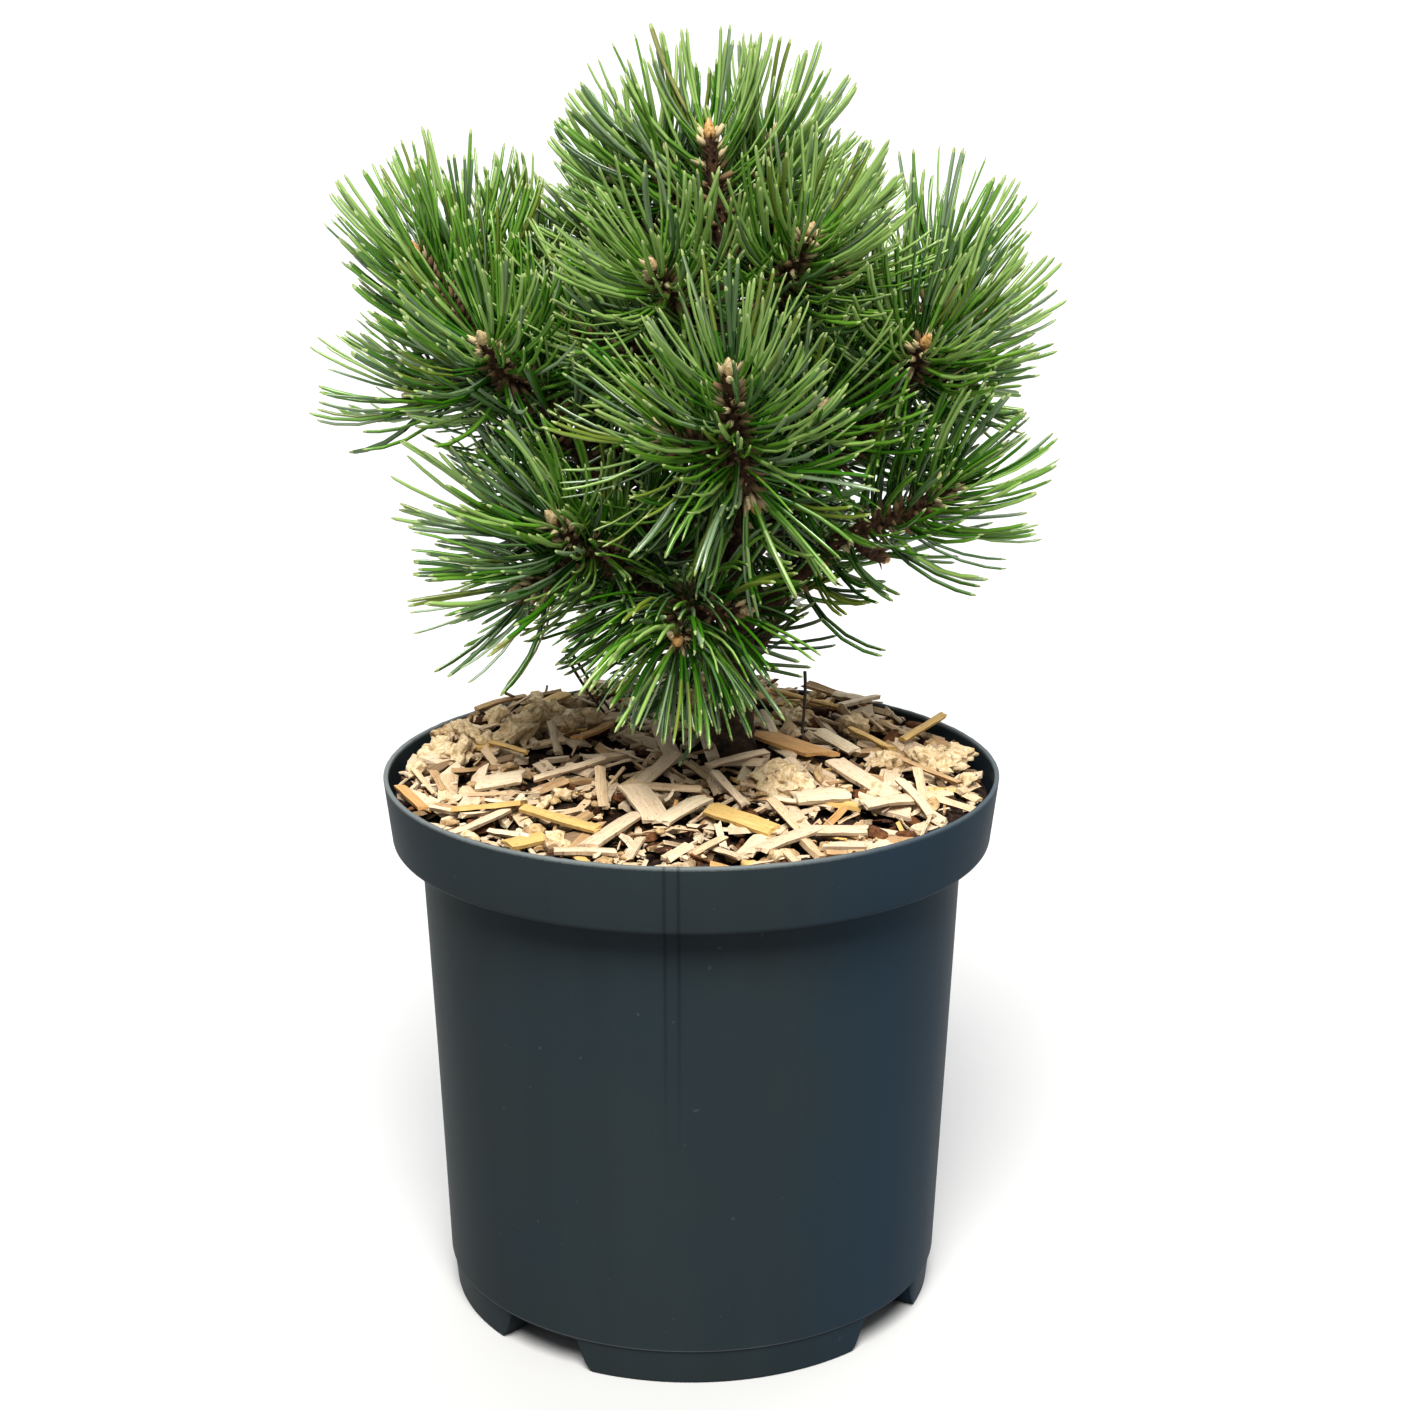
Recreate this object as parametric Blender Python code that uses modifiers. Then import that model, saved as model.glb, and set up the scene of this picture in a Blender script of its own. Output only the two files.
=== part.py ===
"""A mugo pine in the round plastic pot it was grown in.

Metres, +Z up. The origin is the middle of the pot's foot, on the floor.
The front of the plant faces -Y. Azimuths turn from +X towards +Y.

The pot is a turned shell on four foot segments, filled with soil and topped with a layer of
reed chips. The trunk stands on the soil and stays whole up through the crown. Boughs leave it
in three whorls, and each carries one mass of needles. Within a mass every twig leaves one
stem, and every needle keeps to the space that lies nearer to its own mass than to any other.
"""

import math
import random

import bmesh
import bpy
import numpy as np
from mathutils import Matrix, Vector

GAP = 0.0003                   # clearance between touching pieces
SEED = 11

# Pot
RIM_RADIUS = 0.1150
POT_HEIGHT = 0.2060
WALL = 0.0018
LIP_ROUND = 0.0006
COLLAR_HEIGHT = 0.0255
COLLAR_FOOT_RADIUS = 0.1120
BODY_TOP_RADIUS = 0.1018
BODY_FOOT_RADIUS = 0.0947
STEP_DEPTH = 0.0009
FOOT_HEIGHT = 0.0140
FOOT_RADIUS = 0.0925
FOOT_WIDTH = 0.0090
FLOOR_UNDERSIDE = 0.0120
FLOOR_TOP = 0.0140
POT_STEPS = 48
FOOT_COUNT = 4
FOOT_GAP_ANGLE = math.radians(19.5)
FOOT_GAP_FLARE = math.radians(6.0)
FOOT_GAP_INNER = 0.006         # how far a foot gap's cutter passes the foot ring inside
FOOT_GAP_OUTER = 0.010         # and outside
FOOT_GAP_BELOW = 0.004         # and under the floor
FIRST_GAP_AZIMUTH = math.radians(-126.5)

# Soil and the layer of chips on it
SOIL_TOP = 0.2005
SOIL_FALL = 0.0075
LAYER_DEPTH = 0.0055
FLAT_RADIUS = 0.042
FILL_STEPS = 32
TRUNK_OPENING_CLEARANCE = 0.003
CHIP_COUNT = 46
CHIP_LENGTH = (0.013, 0.026)
CHIP_WIDTH = (0.004, 0.0085)
CHIP_THICKNESS = 0.0034
CHIP_RISE = 0.0006             # how far above half sunk a chip lies
CHIP_TILT = math.radians(9.0)
CHIP_CLEARANCE = 0.002
CHIP_LEAST_AREA_SHARE = 0.04   # keeps the first chips off the very middle

# Trunk
TRUNK_FOOT = Vector((0.0150, 0.0070, SOIL_TOP + GAP))
TRUNK_TOP = Vector((0.0125, 0.0010, 0.3720))
TRUNK_BEND = Vector((0.0035, -0.0030, 0.0))
TRUNK_STRAIGHT_FOOT = 0.06     # share of the height that stays straight above the soil
TRUNK_FOOT_RADIUS = 0.0082
TRUNK_TOP_RADIUS = 0.0036
FLARE_RADIUS = 0.0036
FLARE_HEIGHT = 0.0110
FLARE_LOBES = 4
FLARE_LOBE_DEPTH = 0.16
FLARE_LOBE_TURN = 0.6
FLARE_RING_HEIGHT = 0.0025
TRUNK_RINGS = 15
TRUNK_RING_CROWDING = 1.25     # above 1, the rings lie closer near the foot

# Boughs
BOUGH_FOOT_RADIUS = 0.0043
TOP_BOUGH_FOOT_RADIUS = 0.0033
BOUGH_TIP_RADIUS = 0.0029
BOUGH_SHARE = 0.42             # how much of the way to its crotch a bough covers
BOUGH_LEAST = 0.015
BOUGH_RISE = math.radians(14.0)
BOUGH_RINGS = 6
LOWEST_START = 0.240           # the heights between which the boughs' foot radius falls
HIGHEST_START = 0.360
LIMB_EASE = 0.36               # how far a limb keeps to its first and last way, as a share of its span
LIMB_POINTS = 17

# Twigs and their buds
TWIG_RADIUS = 0.0027
TWIG_RING_SPACING = 0.0049
TWIG_RING_TWIST = math.radians(30.0)
TWIG_BOW = 0.08
TWIG_POINTS = 13
TWIG_CLEAR_FOOT = 0.004
TWIG_FORKS = (0.02, 0.14, 0.26)     # where the side twigs leave the first one, as shares of its length
LEADER_FORKS = (0.30, 0.42, 0.54)
STEM_CLEARANCE = 0.0004
BUD_LENGTH = 0.0085
BUD_RADIUS = 0.0030
BUD_WIDEST = 0.4               # share of the bud's length
BUD_TIP = 0.3                  # share of the bud's radius

# Needles
NEEDLE_LENGTH = 0.046
NEEDLE_LENGTH_SPREAD = 0.10
NEEDLE_BUD_SHORTENING = 0.12
NEEDLE_RADIUS = 0.0019
NEEDLE_TIP_ANGLE = math.radians(22.0)
NEEDLE_FOOT_ANGLE = math.radians(82.0)
NEEDLE_ANGLE_EASE = 1.2        # above 1, the needles close towards the bud late
NEEDLE_TURN_SPREAD = math.radians(7.0)
NEEDLE_SHORTER = (1.0, 0.82, 0.64, 0.46)
NEEDLE_DROOP = 0.08
SPACE_MARGIN = 0.0044          # how much nearer a needle stays to its own twigs than to another mass
SIBLING_MARGIN = 0.0010        # the same between the twigs of one mass
NEEDLE_SAMPLES = (0.15, 0.3, 0.5, 0.7, 0.85, 1.0)
CHIP_MARGIN = 0.0048           # how far every needle stays above the chip layer

# A place in the crown is an azimuth in degrees round the trunk's middle line, the reach from that
# line and the height. Each bough has the height where it leaves the trunk, the place of its crotch,
# and the places of the buds of the twigs that part there. The first twig runs on from the bough.
BOUGHS = {
    "low_front": (0.238, (-115, 0.046, 0.278), [(-108, 0.069, 0.271), (-89, 0.053, 0.278)]),
    "low_left": (0.253, (-153, 0.054, 0.293),
                 [(-144, 0.079, 0.309), (-174, 0.087, 0.303), (-155, 0.085, 0.282)]),
    "low_right": (0.264, (-17, 0.043, 0.298), [(-20, 0.082, 0.320), (3, 0.053, 0.285)]),
    "low_right_back": (0.243, (52, 0.039, 0.277), [(65, 0.074, 0.278), (66, 0.052, 0.262)]),
    "low_back": (0.248, (102, 0.044, 0.270), [(96, 0.081, 0.268), (119, 0.068, 0.261)]),
    "low_left_back": (0.236, (138, 0.049, 0.282), [(136, 0.085, 0.283)]),
    "mid_left": (0.280, (-176, 0.072, 0.348),
                 [(179, 0.110, 0.396), (-155, 0.092, 0.370), (173, 0.117, 0.343), (164, 0.101, 0.397)]),
    "mid_left_back": (0.298, (144, 0.074, 0.336),
                      [(150, 0.093, 0.391), (146, 0.114, 0.336), (128, 0.101, 0.355)]),
    "mid_right": (0.300, (-3, 0.054, 0.345),
                 [(16, 0.084, 0.392), (-1, 0.089, 0.376), (-24, 0.075, 0.368), (-4, 0.087, 0.347)]),
    "mid_right_back": (0.284, (47, 0.060, 0.334), [(47, 0.098, 0.357), (56, 0.076, 0.362)]),
    "mid_front": (0.290, (-89, 0.054, 0.335),
                 [(-90, 0.085, 0.366), (-114, 0.062, 0.342), (-85, 0.060, 0.319)]),
    "mid_front_right": (0.318, (-41, 0.025, 0.335), [(-52, 0.049, 0.347)]),
    "mid_back": (0.306, (94, 0.054, 0.328), [(93, 0.084, 0.352), (109, 0.089, 0.331), (75, 0.085, 0.331)]),
    "top_left": (0.332, (-178, 0.018, 0.358), [(-164, 0.040, 0.365), (168, 0.061, 0.369)]),
    "top_front": (0.352, (-121, 0.022, 0.380), [(-118, 0.053, 0.396)]),
    "top_back_left": (0.358, (132, 0.023, 0.387), [(144, 0.049, 0.423), (143, 0.065, 0.400)]),
    "top_right": (0.343, (-50, 0.025, 0.385), [(-57, 0.051, 0.407), (-16, 0.046, 0.395)]),
    "top_back_right": (0.364, (55, 0.023, 0.389), [(59, 0.039, 0.421), (44, 0.059, 0.406)]),
    "top_back": (0.341, (95, 0.029, 0.375), [(92, 0.065, 0.398)]),
}
LEADER_BUDS = [(-118, 0.012, 0.437), (43, 0.022, 0.434), (165, 0.027, 0.433)]


def clear_scene():
    for obj in list(bpy.data.objects):
        bpy.data.objects.remove(obj, do_unlink=True)


def new_collection(name):
    collection = bpy.data.collections.new(name)
    bpy.context.scene.collection.children.link(collection)
    return collection


def plain_material(name, colour, roughness):
    material = bpy.data.materials.new(name)
    material.use_nodes = True
    shader = material.node_tree.nodes["Principled BSDF"]
    shader.inputs["Base Color"].default_value = (*colour, 1.0)
    shader.inputs["Roughness"].default_value = roughness
    shader.inputs["Metallic"].default_value = 0.0
    return material


def place(obj, collection, material=None):
    collection.objects.link(obj)
    if material:
        obj.data.materials.clear()
        obj.data.materials.append(material)
    return obj


def hide_cutter(obj):
    obj.hide_render = True
    obj.display_type = "WIRE"
    return obj


def evaluated_mesh(obj):
    bpy.context.view_layer.update()
    graph = bpy.context.evaluated_depsgraph_get()
    return bpy.data.meshes.new_from_object(obj.evaluated_get(graph))


def apply_modifiers(obj):
    """Give an object the mesh that its modifiers make, and take them off."""
    mesh = evaluated_mesh(obj)
    obj.modifiers.clear()
    obj.data = mesh
    return obj


def smooth(obj, angle=math.radians(40.0)):
    obj.data.shade_smooth()
    obj.data.set_sharp_from_angle(angle=angle)
    return obj


def turned(name, profile, steps, collection, material):
    """Turn a profile of (radius, height) pairs round +Z into a closed body."""
    mesh = bpy.data.meshes.new(name)
    points = [(radius, 0.0, height) for radius, height in profile]
    edges = [(i, i + 1) for i in range(len(points) - 1)]
    mesh.from_pydata(points, edges, [])
    obj = place(bpy.data.objects.new(name, mesh), collection, material)
    screw = obj.modifiers.new("turn", "SCREW")
    screw.steps = steps
    screw.render_steps = steps
    screw.use_merge_vertices = True
    screw.merge_threshold = 0.00001
    return apply_modifiers(obj)


def tube(name, points, radii, resolution, collection, material, twist=0.0):
    """A tube of changing radius along a path, with closed ends, as a mesh."""
    curve = bpy.data.curves.new(name + "_path", "CURVE")
    curve.dimensions = "3D"
    curve.bevel_depth = 1.0
    curve.bevel_resolution = resolution
    curve.use_fill_caps = True
    spline = curve.splines.new("POLY")
    spline.points.add(len(points) - 1)
    for number, spline_point in enumerate(spline.points):
        spline_point.co = (*points[number], 1.0)
        spline_point.radius = radii[number]
        spline_point.tilt = number * twist
    path = place(bpy.data.objects.new(name + "_path", curve), collection)
    mesh = evaluated_mesh(path)
    obj = bpy.data.objects.new(name, mesh)
    obj.matrix_world = path.matrix_world
    place(obj, collection, material)
    bpy.data.objects.remove(path, do_unlink=True)
    bm = bmesh.new()
    bm.from_mesh(mesh)
    bmesh.ops.remove_doubles(bm, verts=bm.verts, dist=0.000005)
    bmesh.ops.recalc_face_normals(bm, faces=bm.faces)
    bm.to_mesh(mesh)
    bm.free()
    return obj


def boolean(obj, operation, operand):
    """Cut or join an object with another object or with every object of a collection."""
    for solver in ("EXACT", "MANIFOLD"):
        modifier = obj.modifiers.new(operation.lower(), "BOOLEAN")
        modifier.operation = operation
        modifier.solver = solver
        if isinstance(operand, bpy.types.Collection):
            modifier.operand_type = "COLLECTION"
            modifier.collection = operand
        else:
            modifier.object = operand
        mesh = evaluated_mesh(obj)
        obj.modifiers.clear()
        if len(mesh.polygons) > 0:
            obj.data = mesh
            return obj
    raise ValueError(f"{obj.name} came out empty")


def keep_main_body(obj):
    """Keep an object's largest closed body, without loose scraps and sealed hollows."""
    bm = bmesh.new()
    bm.from_mesh(obj.data)
    unseen = set(bm.faces)
    bodies = []
    while unseen:
        stack = [unseen.pop()]
        body = [stack[0]]
        while stack:
            face = stack.pop()
            linked = {other for edge in face.edges for other in edge.link_faces} & unseen
            unseen -= linked
            body.extend(linked)
            stack.extend(linked)
        bodies.append(body)
    bodies.sort(key=len, reverse=True)
    scraps = [face for body in bodies[1:] for face in body]
    bmesh.ops.delete(bm, geom=scraps, context="FACES")
    bmesh.ops.triangulate(bm, faces=bm.faces)
    bm.to_mesh(obj.data)
    bm.free()
    return obj


def trunk_point(share):
    """A point on the trunk's middle line, from its foot at 0 to its top at 1."""
    bent = max(0.0, share - TRUNK_STRAIGHT_FOOT) / (1.0 - TRUNK_STRAIGHT_FOOT)
    return TRUNK_FOOT.lerp(TRUNK_TOP, share) + TRUNK_BEND * math.sin(math.pi * bent)


def trunk_radius(share):
    height = share * (TRUNK_TOP.z - TRUNK_FOOT.z)
    taper = TRUNK_FOOT_RADIUS + (TRUNK_TOP_RADIUS - TRUNK_FOOT_RADIUS) * share
    return taper + FLARE_RADIUS * math.exp(-height / FLARE_HEIGHT)


def trunk_at(height):
    return trunk_point((height - TRUNK_FOOT.z) / (TRUNK_TOP.z - TRUNK_FOOT.z))


def crown_place(azimuth, reach, height):
    """The point at an azimuth, a reach from the trunk's middle line and a height."""
    middle = trunk_at(min(height, TRUNK_TOP.z))
    turn = math.radians(azimuth)
    return Vector((middle.x + math.cos(turn) * reach, middle.y + math.sin(turn) * reach, height))


def bent_line(start, leave, tip, arrive):
    """A smooth line from one point to another that leaves and arrives along the given ways."""
    span = (tip - start).length
    first = start + leave * span * LIMB_EASE
    second = tip - arrive * span * LIMB_EASE
    points = []
    for i in range(LIMB_POINTS):
        t = i / (LIMB_POINTS - 1)
        points.append(start * (1 - t) ** 3 + first * 3 * t * (1 - t) ** 2
                      + second * 3 * t * t * (1 - t) + tip * t ** 3)
    return points


def stretch_of(points, begin, end, count):
    """Evenly spaced points on a line, between two distances along it."""
    lengths = [0.0]
    for first, second in zip(points, points[1:]):
        lengths.append(lengths[-1] + (second - first).length)
    places = np.linspace(begin, end if end is not None else lengths[-1], count)
    axes = [np.interp(places, lengths, [point[axis] for point in points]) for axis in range(3)]
    return [Vector(values) for values in zip(*axes)]


def line_length(points):
    return sum((second - first).length for first, second in zip(points, points[1:]))


def limb_line(name):
    """The middle line from inside the trunk to a bough's crotch, which the first twig carries on."""
    start_height, crotch_place, buds = BOUGHS[name]
    start = trunk_at(start_height)
    crotch = crown_place(*crotch_place)
    out = Vector((crotch.x - start.x, crotch.y - start.y, 0.0)).normalized()
    leave = out * math.cos(BOUGH_RISE) + Vector((0, 0, math.sin(BOUGH_RISE)))
    arrive = (crown_place(*buds[0]) - crotch).normalized()
    return bent_line(start, leave, crotch, arrive)


def bough_length(limb):
    return max(BOUGH_LEAST, line_length(limb) * BOUGH_SHARE)


def bough_line(name):
    limb = limb_line(name)
    return stretch_of(limb, 0.0, bough_length(limb), BOUGH_RINGS)


def bough_radii(name):
    share = (BOUGHS[name][0] - LOWEST_START) / (HIGHEST_START - LOWEST_START)
    foot = BOUGH_FOOT_RADIUS + (TOP_BOUGH_FOOT_RADIUS - BOUGH_FOOT_RADIUS) * share
    return [foot + (BOUGH_TIP_RADIUS - foot) * i / (BOUGH_RINGS - 1) for i in range(BOUGH_RINGS)]


def spaced(points, begin=0.0):
    """A line's points again, one for each ring of a twig."""
    length = line_length(points)
    rings = max(3, round((length - begin) / TWIG_RING_SPACING) + 1)
    return stretch_of(points, begin, length, rings)


def twig_line(start, bud):
    """A side twig: it bows below the straight way to its bud and ends turned up."""
    span = bud - start
    way = span.normalized()
    up = Vector((0, 0, 1)) - way * way.z
    shares = [i / (TWIG_POINTS - 1) for i in range(TWIG_POINTS)]
    points = [start + span * t - up * TWIG_BOW * span.length * math.sin(math.pi * t) for t in shares]
    return spaced(points)


def mass_lines(name):
    """The middle lines of a mass's twigs. The first goes on from the bough, and the rest leave it."""
    if name == "leader":
        buds = [crown_place(*bud) for bud in LEADER_BUDS]
        whole = bent_line(TRUNK_TOP, Vector((0, 0, 1)), buds[0], (buds[0] - TRUNK_TOP).normalized())
        forks = LEADER_FORKS
        begin = STEM_CLEARANCE
        crotch_at = 0.0
    else:
        buds = [crown_place(*bud) for bud in BOUGHS[name][2]]
        limb = limb_line(name)
        crotch_at = line_length(limb)
        whole = limb + twig_line(limb[-1], buds[0])[1:]
        forks = TWIG_FORKS
        begin = bough_length(limb) + STEM_CLEARANCE
    lines = [spaced(whole, begin)]
    for bud, fork in zip(buds[1:], forks):
        at = crotch_at + (line_length(whole) - crotch_at) * fork
        lines.append(twig_line(stretch_of(whole, at, None, 2)[0], bud))
    return lines


def twig_tube(name, line, collection, material):
    """A six-sided twig with a turn from ring to ring, which ends in a bud."""
    way = (line[-1] - line[-2]).normalized()
    points = line + [line[-1] + way * BUD_LENGTH * part for part in (BUD_WIDEST, 1.0)]
    radii = [float(radius) for radius in np.linspace(BOUGH_TIP_RADIUS, TWIG_RADIUS, len(line))]
    radii += [BUD_RADIUS, BUD_RADIUS * BUD_TIP]
    return tube(name, points, radii, 1, collection, material, TWIG_RING_TWIST)


def segments_of(lines):
    """The straight stretches of some lines, as two arrays of end points."""
    starts = [tuple(line[i]) for line in lines for i in range(len(line) - 1)]
    ends = [tuple(line[i + 1]) for line in lines for i in range(len(line) - 1)]
    return np.array(starts), np.array(ends)


def distance(points, segments):
    """How far each point lies from the nearest of some straight stretches."""
    starts, ends = segments
    along = ends - starts
    offset = points[:, None, :] - starts[None, :, :]
    share = (offset * along).sum(2) / (along * along).sum(1)
    nearest = starts + np.clip(share, 0.0, 1.0)[:, :, None] * along
    return np.linalg.norm(points[:, None, :] - nearest, axis=2).min(1)


def needle_fits(samples, own, siblings, others, limbs, trunk):
    """A needle stays in its own twig's space, off every limb and above the chips."""
    if samples[:, 2].min() < SOIL_TOP + LAYER_DEPTH + CHIP_MARGIN:
        return False
    if distance(samples, limbs).min() < BOUGH_FOOT_RADIUS + NEEDLE_RADIUS + GAP:
        return False
    if distance(samples, trunk).min() < TRUNK_FOOT_RADIUS + NEEDLE_RADIUS + GAP:
        return False
    from_own = distance(samples, own)
    if siblings and (distance(samples, siblings) - from_own).min() < SIBLING_MARGIN:
        return False
    return (distance(samples, others) - from_own).min() > SPACE_MARGIN


def draw_needles(twig, line, rng, fits):
    """Draw the four-sided faces of a twig out into needles: wide below, close to the bud above."""
    bm = bmesh.new()
    bm.from_mesh(twig.data)
    length = line_length(line)
    sides = [face for face in bm.faces if len(face.verts) == 4]
    sides.sort(key=lambda face: tuple(round(value, 5) for value in face.calc_center_median()))
    for face in sides:
        root = face.calc_center_median()
        ring = min(range(len(line)), key=lambda i: (line[i] - root).length)
        below, above = line[max(ring - 1, 0)], line[min(ring + 1, len(line) - 1)]
        way = (above - below).normalized()
        along = ring * length / (len(line) - 1) + (root - line[ring]).dot(way)
        if along < TWIG_CLEAR_FOOT or along > length:
            continue
        share = along / length
        out = root - line[ring]
        out = (out - way * out.dot(way)).normalized()
        out = Matrix.Rotation(rng.uniform(-NEEDLE_TURN_SPREAD, NEEDLE_TURN_SPREAD), 3, way) @ out
        closed = share ** NEEDLE_ANGLE_EASE
        angle = NEEDLE_FOOT_ANGLE + (NEEDLE_TIP_ANGLE - NEEDLE_FOOT_ANGLE) * closed
        needle_way = way * math.cos(angle) + out * math.sin(angle)
        needle_way = (needle_way - Vector((0, 0, NEEDLE_DROOP * share))).normalized()
        full = NEEDLE_LENGTH * rng.uniform(1 - NEEDLE_LENGTH_SPREAD, 1 + NEEDLE_LENGTH_SPREAD)
        full *= 1 - NEEDLE_BUD_SHORTENING * share ** 3
        for part in NEEDLE_SHORTER:
            tip = root + needle_way * full * part
            samples = np.array([tuple(root.lerp(tip, t)) for t in NEEDLE_SAMPLES])
            if fits(samples):
                poked = bmesh.ops.poke(bm, faces=[face])
                poked["verts"][0].co = tip
                break
    bmesh.ops.triangulate(bm, faces=bm.faces)
    bm.to_mesh(twig.data)
    bm.free()


def build_pot(parts, cutters):
    material = plain_material("pot_plastic", (0.030, 0.043, 0.052), 0.42)
    ledge = POT_HEIGHT - COLLAR_HEIGHT
    profile = [
        (0.0, FLOOR_TOP),
        (BODY_FOOT_RADIUS - WALL, FLOOR_TOP),
        (BODY_TOP_RADIUS - WALL, ledge + WALL),
        (COLLAR_FOOT_RADIUS - WALL, ledge + WALL),
        (RIM_RADIUS - WALL, POT_HEIGHT - LIP_ROUND),
        (RIM_RADIUS - WALL + LIP_ROUND, POT_HEIGHT),
        (RIM_RADIUS - LIP_ROUND, POT_HEIGHT),
        (RIM_RADIUS, POT_HEIGHT - LIP_ROUND),
        (COLLAR_FOOT_RADIUS, ledge + LIP_ROUND),
        (COLLAR_FOOT_RADIUS - LIP_ROUND, ledge),
        (BODY_TOP_RADIUS, ledge),
        (BODY_FOOT_RADIUS, FOOT_HEIGHT),
        (BODY_FOOT_RADIUS - STEP_DEPTH, FOOT_HEIGHT - STEP_DEPTH),
        (FOOT_RADIUS, 0.0),
        (FOOT_RADIUS - FOOT_WIDTH, 0.0),
        (FOOT_RADIUS - FOOT_WIDTH, FLOOR_UNDERSIDE),
        (0.0, FLOOR_UNDERSIDE),
    ]
    pot = turned("pot", profile, POT_STEPS, parts, material)
    for number in range(FOOT_COUNT):
        azimuth = FIRST_GAP_AZIMUTH + number * 2 * math.pi / FOOT_COUNT
        foot_gap_cutter(number, azimuth, cutters)
    boolean(pot, "DIFFERENCE", cutters)
    return smooth(pot)


def foot_gap_cutter(number, azimuth, cutters):
    """A wedge that opens the foot ring, wider at the floor because each foot narrows downward."""
    bm = bmesh.new()
    bmesh.ops.create_cube(bm, size=1.0)
    outer = BODY_FOOT_RADIUS + FOOT_GAP_OUTER
    inner = FOOT_RADIUS - FOOT_WIDTH - FOOT_GAP_INNER
    top, bottom = FLOOR_UNDERSIDE, -FOOT_GAP_BELOW
    for vert in bm.verts:
        radius = outer if vert.co.x > 0 else inner
        height = top if vert.co.z > 0 else bottom
        flare = FOOT_GAP_FLARE * (top - height) / top
        half = (FOOT_GAP_ANGLE + flare) / 2 * math.copysign(1.0, vert.co.y)
        turn = azimuth + half
        vert.co = (radius * math.cos(turn), radius * math.sin(turn), height)
    mesh = bpy.data.meshes.new("foot_gap")
    bm.to_mesh(mesh)
    bm.free()
    return hide_cutter(place(bpy.data.objects.new(f"foot_gap_{number}", mesh), cutters))


def fill_radius(height):
    """The pot's inner radius at a height, less the clearance."""
    ledge = POT_HEIGHT - COLLAR_HEIGHT
    if height < ledge + WALL:
        share = (height - FLOOR_TOP) / (ledge + WALL - FLOOR_TOP)
        return BODY_FOOT_RADIUS + (BODY_TOP_RADIUS - BODY_FOOT_RADIUS) * share - WALL - GAP * 1.4
    share = (height - ledge) / COLLAR_HEIGHT
    return COLLAR_FOOT_RADIUS + (RIM_RADIUS - COLLAR_FOOT_RADIUS) * share - WALL - GAP * 2.5


def build_soil(parts):
    material = plain_material("soil", (0.035, 0.018, 0.010), 0.95)
    ledge = POT_HEIGHT - COLLAR_HEIGHT + WALL
    edge = SOIL_TOP - SOIL_FALL
    profile = [
        (0.0, SOIL_TOP),
        (FLAT_RADIUS, SOIL_TOP),
        (fill_radius(edge), edge),
        (fill_radius(ledge + GAP), ledge + GAP),
        (fill_radius(ledge - GAP), ledge + GAP),
        (fill_radius(FLOOR_TOP + GAP), FLOOR_TOP + GAP),
        (0.0, FLOOR_TOP + GAP),
    ]
    return smooth(turned("soil", profile, FILL_STEPS, parts, material))


def layer_height(radius):
    """The top of the chip layer: flat in the middle, falling to the pot's wall."""
    fall = max(0.0, radius - FLAT_RADIUS) / (fill_radius(SOIL_TOP) - FLAT_RADIUS)
    return SOIL_TOP + LAYER_DEPTH - SOIL_FALL * fall


def build_mulch(parts, cutters, pieces):
    """The layer of chips on the soil, with an opening round the trunk's foot."""
    material = plain_material("reed_chips", (0.62, 0.46, 0.25), 0.8)
    edge = SOIL_TOP - SOIL_FALL
    profile = [
        (0.0, layer_height(0.0)),
        (FLAT_RADIUS, layer_height(FLAT_RADIUS)),
        (fill_radius(edge + LAYER_DEPTH), edge + LAYER_DEPTH),
        (fill_radius(edge + GAP), edge + GAP * 1.2),
        (FLAT_RADIUS, SOIL_TOP + GAP * 1.2),
        (0.0, SOIL_TOP + GAP * 1.2),
    ]
    mulch = turned("mulch", profile, FILL_STEPS, parts, material)
    opening = TRUNK_FOOT_RADIUS + FLARE_RADIUS * (1 + FLARE_LOBE_DEPTH) + TRUNK_OPENING_CLEARANCE
    bpy.ops.mesh.primitive_cylinder_add(vertices=20, radius=opening, depth=LAYER_DEPTH * 6)
    hole = bpy.context.object
    hole.location = TRUNK_FOOT
    hole.name = "trunk_opening"
    for owner in list(hole.users_collection):
        owner.objects.unlink(hole)
    hide_cutter(place(hole, cutters))
    boolean(mulch, "DIFFERENCE", hole)
    rng = random.Random(SEED)
    while len(pieces.objects) < CHIP_COUNT:
        add_chip(rng, opening, pieces)
    boolean(mulch, "UNION", pieces)
    for chip in list(pieces.objects):
        bpy.data.objects.remove(chip, do_unlink=True)
    return keep_main_body(mulch)


def add_chip(rng, opening, pieces):
    """One chip, half sunk in the layer, off the trunk and off the pot's wall."""
    length = rng.uniform(*CHIP_LENGTH)
    width = rng.uniform(*CHIP_WIDTH)
    reach = fill_radius(POT_HEIGHT) - length / 2 - CHIP_CLEARANCE
    radius = reach * math.sqrt(rng.uniform(CHIP_LEAST_AREA_SHARE, 1.0))
    azimuth = rng.uniform(0.0, 2 * math.pi)
    height = layer_height(radius) + CHIP_RISE
    middle = Vector((radius * math.cos(azimuth), radius * math.sin(azimuth), height))
    off_trunk = (middle.xy - TRUNK_FOOT.xy).length
    if off_trunk < opening + length / 2 + CHIP_CLEARANCE / 2:
        return
    bm = bmesh.new()
    bmesh.ops.create_cube(bm, size=1.0, matrix=Matrix.Diagonal((length, width, CHIP_THICKNESS, 1.0)))
    mesh = bpy.data.meshes.new("chip")
    bm.to_mesh(mesh)
    bm.free()
    chip = bpy.data.objects.new("chip", mesh)
    chip.location = middle
    tilts = [rng.uniform(-CHIP_TILT, CHIP_TILT) for _ in range(2)]
    chip.rotation_euler = (tilts[0], tilts[1], rng.uniform(0.0, math.pi))
    place(chip, pieces)


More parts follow.
